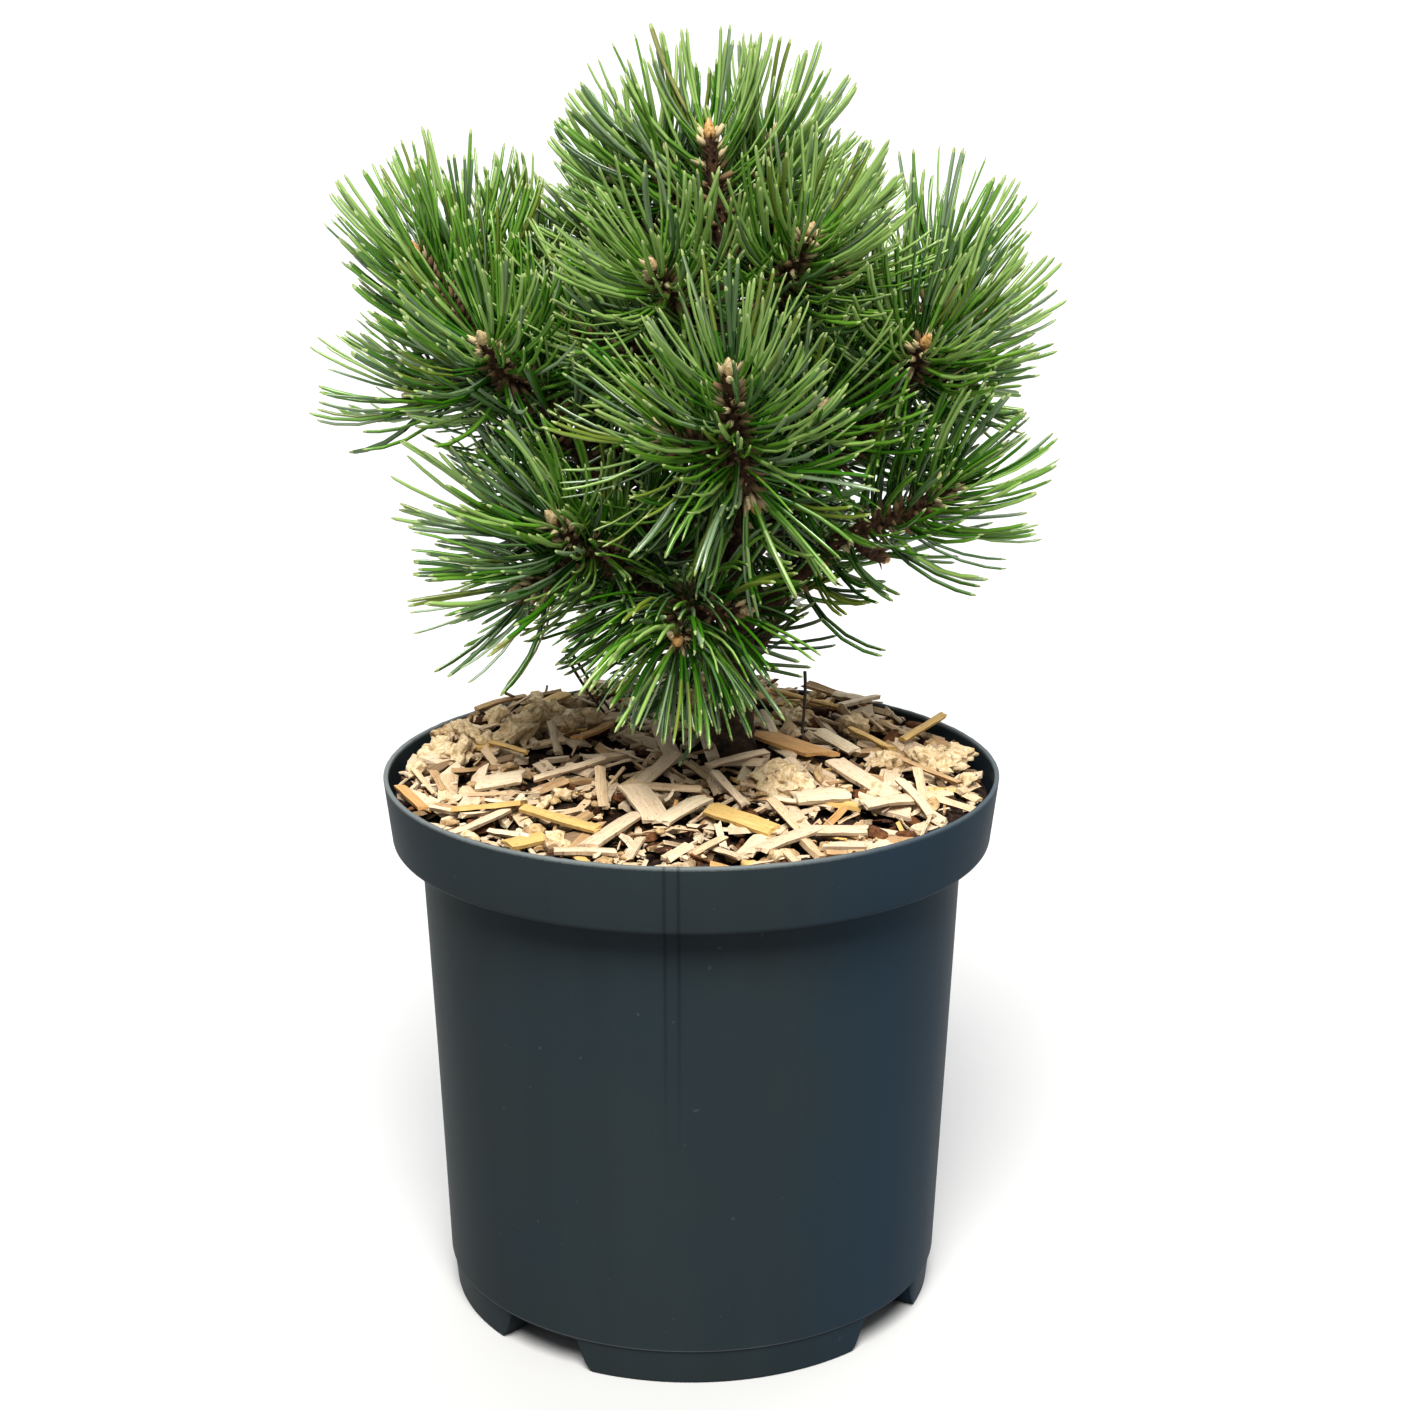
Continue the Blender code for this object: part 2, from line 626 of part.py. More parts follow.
def trunk_tube(name, extra, collection, material):
    shares = [(i / (TRUNK_RINGS - 1)) ** TRUNK_RING_CROWDING for i in range(TRUNK_RINGS)]
    points = [trunk_point(share) for share in shares]
    points.insert(1, points[0] + Vector((0, 0, FLARE_RING_HEIGHT)))
    shares.insert(1, FLARE_RING_HEIGHT / (TRUNK_TOP.z - TRUNK_FOOT.z))
    radii = [trunk_radius(share) + extra for share in shares]
    return tube(name, points, radii, 4, collection, material)


def build_trunk(parts, bark):
    """The trunk, with lobes where its roots begin, cut flat at the soil."""
    trunk = trunk_tube("trunk", 0.0, parts, bark)
    for vert in trunk.data.vertices:
        height = vert.co.z - TRUNK_FOOT.z
        middle = trunk_at(vert.co.z)
        turn = math.atan2(vert.co.y - middle.y, vert.co.x - middle.x)
        lobes = math.cos(FLARE_LOBES * turn + FLARE_LOBE_TURN) * FLARE_LOBE_DEPTH
        scale = 1.0 + lobes * math.exp(-height / FLARE_HEIGHT)
        vert.co.x = middle.x + (vert.co.x - middle.x) * scale
        vert.co.y = middle.y + (vert.co.y - middle.y) * scale
    return smooth(trunk)


def build_bough(name, parts, trunk_cutter, bark):
    """One tapering bough, cut 0.3 mm clear of the trunk's side."""
    bough = tube(name + "_bough", bough_line(name), bough_radii(name), 1, parts, bark)
    boolean(bough, "DIFFERENCE", trunk_cutter)
    return smooth(keep_main_body(bough))


def build_mass(name, masses, limbs, trunk, rng, parts, pieces, material):
    """One mass: its twigs with their needles, joined into one body."""
    lines = masses[name]
    others = segments_of([line for other in masses if other != name for line in masses[other]])

    def fits(samples, own, siblings):
        return needle_fits(samples, own, siblings, others, limbs, trunk)

    twigs = []
    for number, line in enumerate(lines):
        where, label = (pieces, f"twig_{number}") if number else (parts, name + "_needles")
        twig = twig_tube(label, line, where, material)
        own = segments_of([line])
        rest = [other for other in lines if other is not line]
        siblings = segments_of(rest) if rest else None
        draw_needles(twig, line, rng, lambda samples: fits(samples, own, siblings))
        twigs.append(twig)
    if len(twigs) > 1:
        boolean(twigs[0], "UNION", pieces)
    for twig in twigs[1:]:
        bpy.data.objects.remove(twig, do_unlink=True)
    return keep_main_body(twigs[0])


def main():
    clear_scene()
    parts = new_collection("mugo_pine")
    pot_cutters = new_collection("pot_cutters")
    cutters = new_collection("plant_cutters")
    pieces = new_collection("pieces")
    bark = plain_material("bark", (0.075, 0.045, 0.030), 0.9)
    green = plain_material("needles", (0.060, 0.150, 0.035), 0.5)

    build_pot(parts, pot_cutters)
    build_soil(parts)
    build_mulch(parts, cutters, pieces)
    build_trunk(parts, bark)
    trunk_cutter = hide_cutter(trunk_tube("trunk_cutter", STEM_CLEARANCE, cutters, None))
    for name in BOUGHS:
        build_bough(name, parts, trunk_cutter, bark)

    masses = {name: mass_lines(name) for name in [*BOUGHS, "leader"]}
    limbs = segments_of([bough_line(name) for name in BOUGHS])
    trunk = segments_of([[trunk_point(i / TRUNK_RINGS) for i in range(TRUNK_RINGS + 1)]])
    rng = random.Random(SEED)
    for name in masses:
        build_mass(name, masses, limbs, trunk, rng, parts, pieces, green)


main()
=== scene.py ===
"""The looks of a mugo pine in its nursery pot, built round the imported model.

Metres, +Z up, the origin in the middle of the pot's foot. The front faces -Y. Azimuths turn from
+X towards +Y. The crown grows from the same table of boughs and buds as the solids, by the same
rule: needles leave each twig wide near its foot and close to the way of its bud near its tip.
"""

import math

import bpy
import numpy as np
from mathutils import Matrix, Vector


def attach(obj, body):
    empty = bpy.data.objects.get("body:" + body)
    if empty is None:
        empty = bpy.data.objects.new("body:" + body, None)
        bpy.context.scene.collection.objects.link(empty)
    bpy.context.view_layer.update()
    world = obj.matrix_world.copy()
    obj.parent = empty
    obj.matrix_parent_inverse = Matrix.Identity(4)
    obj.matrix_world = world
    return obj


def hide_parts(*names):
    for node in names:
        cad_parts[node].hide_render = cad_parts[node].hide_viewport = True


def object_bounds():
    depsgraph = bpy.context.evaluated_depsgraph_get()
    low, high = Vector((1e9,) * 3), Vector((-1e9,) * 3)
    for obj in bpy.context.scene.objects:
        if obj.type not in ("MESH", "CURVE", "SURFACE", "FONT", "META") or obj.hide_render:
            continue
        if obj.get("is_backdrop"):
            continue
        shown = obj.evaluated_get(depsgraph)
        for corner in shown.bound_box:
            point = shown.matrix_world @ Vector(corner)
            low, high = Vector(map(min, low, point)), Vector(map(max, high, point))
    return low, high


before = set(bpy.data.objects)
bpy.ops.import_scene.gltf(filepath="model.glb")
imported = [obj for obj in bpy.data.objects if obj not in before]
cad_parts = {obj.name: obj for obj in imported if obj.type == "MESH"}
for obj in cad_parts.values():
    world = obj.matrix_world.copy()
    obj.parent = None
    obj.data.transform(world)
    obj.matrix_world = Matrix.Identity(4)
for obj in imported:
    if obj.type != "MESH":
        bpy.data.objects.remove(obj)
cad_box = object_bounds()

TURN = 2.0 * math.pi
UP = np.array((0.0, 0.0, 1.0))
SEED = 23

# Pot
RIM_RADIUS = 0.1150
POT_HEIGHT = 0.2060
WALL = 0.0018
COLLAR_HEIGHT = 0.0255
COLLAR_FOOT_RADIUS = 0.1120
BODY_TOP_RADIUS = 0.1018
BODY_FOOT_RADIUS = 0.0947
STEP_DEPTH = 0.0009
FOOT_HEIGHT = 0.0140
FOOT_RADIUS = 0.0925
FOOT_WIDTH = 0.0090
FLOOR_UNDERSIDE = 0.0120
FLOOR_TOP = 0.0140
FOOT_COUNT = 4
FOOT_GAP_ANGLE = math.radians(19.5)
FOOT_GAP_FLARE = math.radians(10.0)
FOOT_GAP_EASE = 2.2
FIRST_GAP_AZIMUTH = math.radians(-126.5)
LEDGE = POT_HEIGHT - COLLAR_HEIGHT
POT_STEPS = 360

# Soil and chips
SOIL_TOP = 0.2005
SOIL_FALL = 0.0075
LAYER_DEPTH = 0.0055
FLAT_RADIUS = 0.042
FILL_GAP = 0.0006
SOIL_RINGS = 90
SOIL_SIDES = 220
SOIL_BELOW_CHIPS = 0.0040
CHIP_EDGE_GAP = 0.0022         # from a chip's ends to the wall
WALL_GAP = 0.0004              # from what presses against the wall to the wall
TRUNK_GAP = 0.0045             # from a chip to the trunk's foot
CHOSEN_CHIP_THICKNESS = 0.0015
BACK_HEAP = 0.0115
BACK_HEAP_AZIMUTH = math.radians(100.0)
BACK_HEAP_WIDTH = math.radians(76.0)
TRUNK_HEAP = 0.0050
TRUNK_HEAP_WIDTH = 0.026

# Trunk
TRUNK_FOOT = np.array((0.0150, 0.0070, 0.2008))
TRUNK_TOP = np.array((0.0125, 0.0010, 0.3720))
TRUNK_BEND = np.array((0.0035, -0.0030, 0.0))
TRUNK_STRAIGHT_FOOT = 0.06
TRUNK_FOOT_RADIUS = 0.0082
TRUNK_TOP_RADIUS = 0.0036
FLARE_RADIUS = 0.0036
FLARE_HEIGHT = 0.0110
FLARE_LOBES = 4
FLARE_LOBE_DEPTH = 0.16
FLARE_LOBE_TURN = 0.6

# Boughs and twigs
BOUGH_FOOT_RADIUS = 0.0043
TOP_BOUGH_FOOT_RADIUS = 0.0033
BOUGH_TIP_RADIUS = 0.0029
BOUGH_SHARE = 0.42
BOUGH_LEAST = 0.015
BOUGH_RISE = math.radians(14.0)
LOWEST_START = 0.240
HIGHEST_START = 0.360
LIMB_EASE = 0.36
TWIG_BOW = 0.08
TWIG_FOOT_RADIUS = 0.0030
TWIG_TIP_RADIUS = 0.0022
TWIG_FORKS = (0.02, 0.14, 0.26)
LEADER_FORKS = (0.30, 0.42, 0.54)
LINE_POINTS = 25
TWIG_RING_SPACING = 0.0015
SCALE_SPACING = 0.00060        # of twig for each of its scales
BUD_LENGTH, BUD_RADIUS = 0.0078, 0.0019
SIDE_BUD_LENGTH, SIDE_BUD_RADIUS = 0.0050, 0.0012
BUD_AXIS = (0.31, 0.22, 0.92)  # a way that no bud points, to turn a bud's side from

# Needles
NEEDLE_LENGTH = 0.046
NEEDLE_WIDTH = 0.00165
NEEDLE_TIP_ANGLE = math.radians(22.0)
NEEDLE_FOOT_ANGLE = math.radians(82.0)
NEEDLE_ANGLE_EASE = 1.2
NEEDLE_LIFTS = {"low_front": -0.42, "low_left": 0.06, "low_right": 0.20, "low": 0.0,
                "mid_left": 0.50, "mid": 0.28, "top": 0.42, "leader": 0.46}
# How steeply a mass's needles may hang: the lowest that the way of their tips may point
HANG_LIMITS = {"low_front": -1.0, "low_left": -0.70, "low_right": -0.35, "low_right_back": -0.20,
               "low": -0.60, "mid_left": -0.32, "mid": -1.0, "top": -1.0, "leader": -1.0}
# The same for the old needles of a mass's bough, where it differs
OLD_HANG_LIMITS = {"low_right": 0.30, "low_right_back": 0.30}
# The bare share of a twig at its foot, and how many of the pairs there are kept all the same
BARE_SHARES = {"leader": (0.34, 0.05), "low_right": (0.36, 0.06), "low": (0.05, 0.30), "mid": (0.05, 0.30),
               "top": (0.05, 0.30)}
# Twigs whose front is open round the bud, and the share of their length past which it is
OPEN_TWIGS = {("leader", 0): 0.52, ("mid_front", 0): 0.87}
# Stretches of twigs, as shares of their length, that have needles only on their underside
HANGING_STRETCHES = {("low_right", 0): (0.06, 0.44)}
HANGING_SHARE = 0.64           # of a new needle's length
SIDE_LIMIT = 0.70              # how far to the right the tips of low_front's needles may point
PAIR_SPACING = 0.00068         # of twig for each pair of needles
LEADER_PAIR_SPACING = 0.00056
OLD_PAIR_SPACING = 0.00120
OLD_NEEDLE_ANGLE = math.radians(74.0)
OLD_NEEDLE_SHARE = 0.86        # of a new needle's length
OLD_NEEDLES_FROM = 0.35        # of a bough's length
GOLDEN_TURN = math.radians(137.508)
PLAIN_FOOT = 0.003             # of a twig, before its first pair
CHORD_SPREAD = math.radians(6.5)
LEAST_BEND, MOST_BEND, BEND_SPREAD = 30, 46, math.radians(7)
NEEDLE_STEPS = np.array((0.0, 0.16, 0.38, 0.62, 0.84, 0.965, 1.0))
NEEDLE_WIDTHS = np.array((0.76, 1.0, 1.0, 1.0, 0.96, 0.82, 0.36))
PATH_POINTS = 48
SHEATH_POINTS = (0, 3, 7)      # of a needle's path
SHEATH_RADII = np.array((0.00085, 0.00122, 0.00092))
PROBES = (16, 26, 36, 47)      # of a needle's path, looked at for wood in the way

# A place in the crown is an azimuth in degrees round the trunk's middle line, the reach from that
# line and the height. Each bough has the height where it leaves the trunk, the place of its crotch,
# and the places of the buds of the twigs that part there. The first twig runs on from the bough.
BOUGHS = {
    "low_front": (0.238, (-115, 0.046, 0.278), [(-108, 0.069, 0.271), (-89, 0.053, 0.278)]),
    "low_left": (0.253, (-153, 0.054, 0.293),
                 [(-144, 0.079, 0.309), (-174, 0.087, 0.303), (-155, 0.085, 0.282)]),
    "low_right": (0.264, (-17, 0.043, 0.298), [(-20, 0.082, 0.320), (3, 0.053, 0.285)]),
    "low_right_back": (0.243, (52, 0.039, 0.277), [(65, 0.074, 0.278), (66, 0.052, 0.262)]),
    "low_back": (0.248, (102, 0.044, 0.270), [(96, 0.081, 0.268), (119, 0.068, 0.261)]),
    "low_left_back": (0.236, (138, 0.049, 0.282), [(136, 0.085, 0.283)]),
    "mid_left": (0.280, (-176, 0.072, 0.348),
                 [(179, 0.110, 0.396), (-155, 0.092, 0.370), (173, 0.117, 0.343), (164, 0.101, 0.397)]),
    "mid_left_back": (0.298, (144, 0.074, 0.336),
                      [(150, 0.093, 0.391), (146, 0.114, 0.336), (128, 0.101, 0.355)]),
    "mid_right": (0.300, (-3, 0.054, 0.345),
                 [(16, 0.084, 0.392), (-1, 0.089, 0.376), (-24, 0.075, 0.368), (-4, 0.087, 0.347)]),
    "mid_right_back": (0.284, (47, 0.060, 0.334), [(47, 0.098, 0.357), (56, 0.076, 0.362)]),
    "mid_front": (0.290, (-89, 0.054, 0.335),
                 [(-90, 0.085, 0.366), (-114, 0.062, 0.342), (-85, 0.060, 0.319)]),
    "mid_front_right": (0.318, (-41, 0.025, 0.335), [(-52, 0.049, 0.347)]),
    "mid_back": (0.306, (94, 0.054, 0.328), [(93, 0.084, 0.352), (109, 0.089, 0.331), (75, 0.085, 0.331)]),
    "top_left": (0.332, (-178, 0.018, 0.358), [(-164, 0.040, 0.365), (168, 0.061, 0.369)]),
    "top_front": (0.352, (-121, 0.022, 0.380), [(-118, 0.053, 0.396)]),
    "top_back_left": (0.358, (132, 0.023, 0.387), [(144, 0.049, 0.423), (143, 0.065, 0.400)]),
    "top_right": (0.343, (-50, 0.025, 0.385), [(-57, 0.051, 0.407), (-16, 0.046, 0.395)]),
    "top_back_right": (0.364, (55, 0.023, 0.389), [(59, 0.039, 0.421), (44, 0.059, 0.406)]),
    "top_back": (0.341, (95, 0.029, 0.375), [(92, 0.065, 0.398)]),
}
LEADER_BUDS = [(-118, 0.012, 0.437), (43, 0.022, 0.434), (165, 0.027, 0.433)]
# Twigs, by their number in the mass, whose needles are shorter than the rest
SHORT_NEEDLES = {
    ("mid_right", 1): 0.82, ("mid_right", 3): 0.53, ("mid_left", 2): 0.96, ("mid_left", 1): 0.88,
    ("mid_left_back", 1): 0.76, ("low_right_back", 0): 0.66, ("low_right_back", 1): 0.62,
    ("low_right", 1): 0.68, ("low_back", 0): 0.80, ("low_left_back", 0): 0.85,
    ("top_back_left", 0): 0.76, ("top_back_left", 1): 0.70, ("top_back_right", 0): 0.78,
    ("top_back_right", 1): 0.70, ("top_right", 1): 0.84, ("leader", 0): 0.97, ("leader", 1): 0.95,
    ("leader", 2): 0.95,
}
SPRAY_GROUPS = {
    "low_front": ["low_front", "low_left", "low_right"],
    "low_back": ["low_right_back", "low_back", "low_left_back"],
    "mid_left": ["mid_left", "mid_left_back"],
    "mid_right": ["mid_right", "mid_right_back"],
    "mid_front": ["mid_front", "mid_front_right", "mid_back"],
    "top_left": ["top_left", "top_front", "top_back_left", "leader"],
    "top_right": ["top_right", "top_back_right", "top_back"],
}


# Materials


def operator(operation, reflected=False):
    """A method that adds a Math node for a value and another, or for the other and the value."""
    def method(value, other):
        first, second = (other, value) if reflected else (value, other)
        return value.graph.node("ShaderNodeMath", {"operation": operation}, {0: first, 1: second})
    return method


class Value:
    """A shader socket that Python's operators work on: each adds one Math node."""

    __add__, __radd__ = operator("ADD"), operator("ADD", True)
    __sub__, __rsub__ = operator("SUBTRACT"), operator("SUBTRACT", True)
    __mul__, __rmul__ = operator("MULTIPLY"), operator("MULTIPLY", True)

    def __init__(self, graph, socket):
        self.graph, self.socket = graph, socket


TONE = 0.66                    # of each colour below, under lamps that are as much stronger


def toned(colour):
    return (*(part * TONE for part in colour), 1.0)


class Finish:
    """A material whose nodes are written as expressions."""

    def __init__(self, name, colour, roughness, specular=0.5):
        self.material = bpy.data.materials.new(name)
        self.material.use_nodes = True
        self.tree = self.material.node_tree
        self.shader = self.tree.nodes["Principled BSDF"]
        constants = {"Base Color": toned(colour), "Roughness": roughness, "Specular IOR Level": specular}
        for socket, value in constants.items():
            self.shader.inputs[socket].default_value = value

    def node(self, kind, settings=None, sockets=None, output=0):
        """Add a node, set its settings, then give its sockets values or links."""
        made = self.tree.nodes.new(kind)
        for setting, value in (settings or {}).items():
            setattr(made, setting, value)
        for socket, value in (sockets or {}).items():
            if isinstance(value, Value):
                self.tree.links.new(value.socket, made.inputs[socket])
            else:
                made.inputs[socket].default_value = value
        return Value(self, made.outputs[output])

    def axis(self, name):
        place = self.node("ShaderNodeTexCoord", output="Object")
        return self.node("ShaderNodeSeparateXYZ", None, {0: place}, output=name)

    def noise(self, scale, detail=3.0, roughness=0.55, stretch=(1.0, 1.0, 1.0), uv=False):
        """Noise over the surface's place, or over the piece's own map, stretched along its axes."""
        place = self.node("ShaderNodeTexCoord", output="UV" if uv else "Object")
        place = self.node("ShaderNodeMapping", None, {"Vector": place, "Scale": stretch})
        sockets = {"Vector": place, "Scale": scale, "Detail": detail, "Roughness": roughness}
        return self.node("ShaderNodeTexNoise", None, sockets)

    def between(self, value, low, high):
        """0 below low and 1 above high, with a straight run between them."""
        settings = {"clamp": True}
        return self.node("ShaderNodeMapRange", settings, {"Value": value, "From Min": low, "From Max": high})

    def blend(self, factor, first, second):
        """A colour between two others, each a colour or a link."""
        sockets = {0: factor}
        for number, colour in ((6, first), (7, second)):
            sockets[number] = colour if isinstance(colour, Value) else toned(colour)
        return self.node("ShaderNodeMix", {"data_type": "RGBA"}, sockets, output=2)

    def mottled(self, dark, light, scale, detail, roughness, low, high):
        """Noise, and a colour that goes from dark to light as the noise goes from low to high."""
        grain = self.noise(scale, detail, roughness)
        return grain, self.blend(self.between(grain, low, high), dark, light)

    def drive(self, socket, value):
        self.tree.links.new(value.socket, self.shader.inputs[socket])
        return self

    def bump(self, height, depth, strength=1.0):
        """Raise the surface by a height between 0 and 1, times a depth in metres."""
        sockets = {"Height": height, "Distance": depth, "Strength": strength}
        return self.drive("Normal", self.node("ShaderNodeBump", None, sockets))


def pot_plastic():
    """Blue-grey moulded plastic: soft streaks down the wall, a paler lip and a few specks."""
    finish = Finish("pot_plastic", (0.029, 0.040, 0.045), 0.42, 0.030)
    x, y, z = (finish.axis(name) for name in "XYZ")
    streaks = finish.noise(1.0, 3.0, 0.5, (55.0, 55.0, 3.0))
    patches = finish.noise(14.0, 2.0)
    grain = finish.noise(900.0, 2.0)
    colour = finish.blend(streaks, (0.0285, 0.0380, 0.0415), (0.0365, 0.0485, 0.0530))
    colour = finish.blend(finish.between(patches, 0.45, 0.75) * 0.5, colour, (0.0260, 0.0415, 0.0530))
    specks = finish.between(finish.noise(300.0, 1.0), 0.775, 0.79)
    colour = finish.blend(specks * 0.25, colour, (0.12, 0.125, 0.13))
    lip = finish.between(z + (grain - 0.5) * 0.0006, POT_HEIGHT - 0.0015, POT_HEIGHT - 0.0006)
    colour = finish.blend(lip * 0.80, colour, (0.230, 0.252, 0.255))
    edge = finish.between((z - FOOT_HEIGHT) * (z - FOOT_HEIGHT), 0.00000012, 0.00000002)
    colour = finish.blend(edge * (0.35 + streaks * 0.6), colour, (0.150, 0.165, 0.170))
    front = finish.between(y, 0.060, -0.035)
    # A bluish patch on the right of the front: a painted reflection of the pale sky in the plastic
    colour = finish.blend(finish.between(x, 0.030, 0.070) * front * 0.6, colour, (0.0240, 0.0500, 0.0800))
    fade = finish.between(z, 0.085, 0.165) * front
    for place in (-0.0086, -0.0038):
        line = finish.between((x - place) * (x - place), 0.0000007, 0.0)
        colour = finish.blend(line * fade * 0.40, colour, (0.007, 0.012, 0.015))
    finish.drive("Base Color", colour)
    finish.drive("Roughness", 0.36 + streaks * 0.10 + grain * 0.06 + lip * 0.16)
    return finish.bump(grain * 0.5 + streaks * 0.5, 0.00012, 0.5).material


def growing_mix():
    """Dark moist soil: brown on the crumbs, near black in the hollows, partly its own mottling and partly
    painted shade.
    """
    finish = Finish("growing_mix", (0.030, 0.016, 0.009), 0.92, 0.25)
    dark, light = (0.010, 0.006, 0.004), (0.075, 0.036, 0.018)
    # One noise sets both colour and bump, so the hollows are darkened: partly painted shade
    crumbs, colour = finish.mottled(dark, light, 420.0, 4.0, 0.65, 0.38, 0.68)
    return finish.drive("Base Color", colour).bump(crumbs, 0.0012).material


def reed(name, light, dark, spots=0.5):
    """Dry reed: fine streaks along the strip, with brown flecks drawn out the same way and spots."""
    finish = Finish(name, light, 0.72, 0.3)
    streaks = finish.noise(1.0, 3.0, 0.6, (90.0, 2600.0, 1.0), uv=True)
    patches = finish.noise(260.0, 3.0, 0.6)
    flecks = finish.noise(1.0, 2.0, 0.6, (420.0, 1500.0, 1.0), uv=True)
    colour = finish.blend(finish.between(streaks, 0.34, 0.68), dark, light)
    colour = finish.blend(finish.between(flecks, 0.60, 0.68) * 0.62, colour, (0.28, 0.165, 0.085))
    colour = finish.blend(finish.between(patches, 0.62, 0.78) * spots, colour, (0.24, 0.125, 0.055))
    finish.drive("Base Color", colour)
    return finish.bump(streaks, 0.0003, 0.7).material


def crumbly(name, light, dark):
    """Pith or a bit of bark: dark in the hollows between light crumbs, partly its own mottling and partly
    painted shade.
    """
    finish = Finish(name, light, 0.9, 0.2)
    # One noise sets both colour and bump, so the hollows are darkened: partly painted shade
    crumbs, colour = finish.mottled(dark, light, 520.0, 4.0, 0.7, 0.36, 0.6)
    return finish.drive("Base Color", colour).bump(crumbs, 0.0006).material


def bark(name, dark, light, pale, pale_share):
    """Scaly bark: dark between the scales, partly its own colour and partly painted shade, browner on them,
    with pale dry flakes.
    """
    finish = Finish(name, dark, 0.88, 0.25)
    # One noise sets both colour and bump, so the cracks between the scales are darkened: partly painted shade
    scales, colour = finish.mottled(dark, light, 330.0, 4.0, 0.6, 0.36, 0.66)
    flakes = finish.between(finish.noise(560.0, 3.0, 0.6), 1.0 - pale_share, 1.08 - pale_share)
    return finish.drive("Base Color", finish.blend(flakes, colour, pale)).bump(scales, 0.0007).material


def bud_scales(name, dark, light, resin):
    """A resinous bud: scales with paler edges and spots of white resin."""
    finish = Finish(name, light, 0.5, 0.45)
    scales, colour = finish.mottled(dark, light, 900.0, 3.0, 0.6, 0.38, 0.58)
    colour = finish.blend(finish.between(scales, 0.60, 0.68) * resin, colour, (0.86, 0.82, 0.70))
    return finish.drive("Base Color", colour).bump(scales, 0.0004).material


# The four greens from deep to bright, then the rarer colours
NEEDLE_COLOURS = [
    ("needle_deep", (0.016, 0.076, 0.002)),
    ("needle_green", (0.050, 0.182, 0.007)),
    ("needle_grass", (0.142, 0.312, 0.036)),
    ("needle_bright", (0.315, 0.485, 0.138)),
    ("needle_sage", (0.105, 0.195, 0.070)),
    ("needle_grey", (0.235, 0.335, 0.185)),
    ("needle_olive", (0.180, 0.250, 0.035)),
    ("needle_straw", (0.300, 0.310, 0.105)),
]
GREENS, SAGE, GREY, OLIVE, STRAW = 4, 4, 5, 6, 7
# The look of the inner third of a needle, for each look of its outer part: a step deeper, painted shade where
# the needles crowd near their twig
SHADED_INNER_LOOKS = np.array((0, 0, 1, 2, 0, 4, 1, 7))
TIP, SHEATH, CREAM_SHEATH = 8, 9, 10
NEEDLE_TRIM = [
    ("needle_tip", (0.34, 0.43, 0.165), 0.40),
    ("needle_sheath", (0.21, 0.135, 0.070), 0.8),
    ("cream_sheath", (0.58, 0.47, 0.28), 0.7),
]


def plain_finish(name, colour, roughness, specular=0.5):
    return Finish(name, colour, roughness, specular).material


# Arrays and meshes


def unit(vectors):
    return vectors / np.maximum(np.linalg.norm(vectors, axis=-1, keepdims=True), 1e-12)


def scramble(cells, seed):
    """A value between 0 and 1 for each whole-number place, always the same for the same place."""
    mixed = (cells * np.array((374761393, 668265263, 2147483647))).sum(-1) + seed * 974634777
    mixed = (mixed ^ (mixed >> 13)) * 1274126177
    return ((mixed ^ (mixed >> 16)) & 0xFFFFFF) / float(0xFFFFFF)


def cell_noise(points, size, seed=0):
    """Smooth noise between -1 and 1: values at the corners of cells, eased between them."""
    scaled = points / size
    base = np.floor(scaled).astype(np.int64)
    share = scaled - base
    share = share * share * (3 - 2 * share)
    total = np.zeros(points.shape[:-1])
    for corner in np.ndindex(2, 2, 2):
        weight = np.prod(np.where(np.array(corner) == 1, share, 1 - share), axis=-1)
        total += weight * scramble(base + np.array(corner), seed)
    return total * 2.0 - 1.0


def layered_noise(points, size, layers=3, seed=0):
    return sum(cell_noise(points, size / 2 ** i, seed + i) / 2 ** i for i in range(layers))


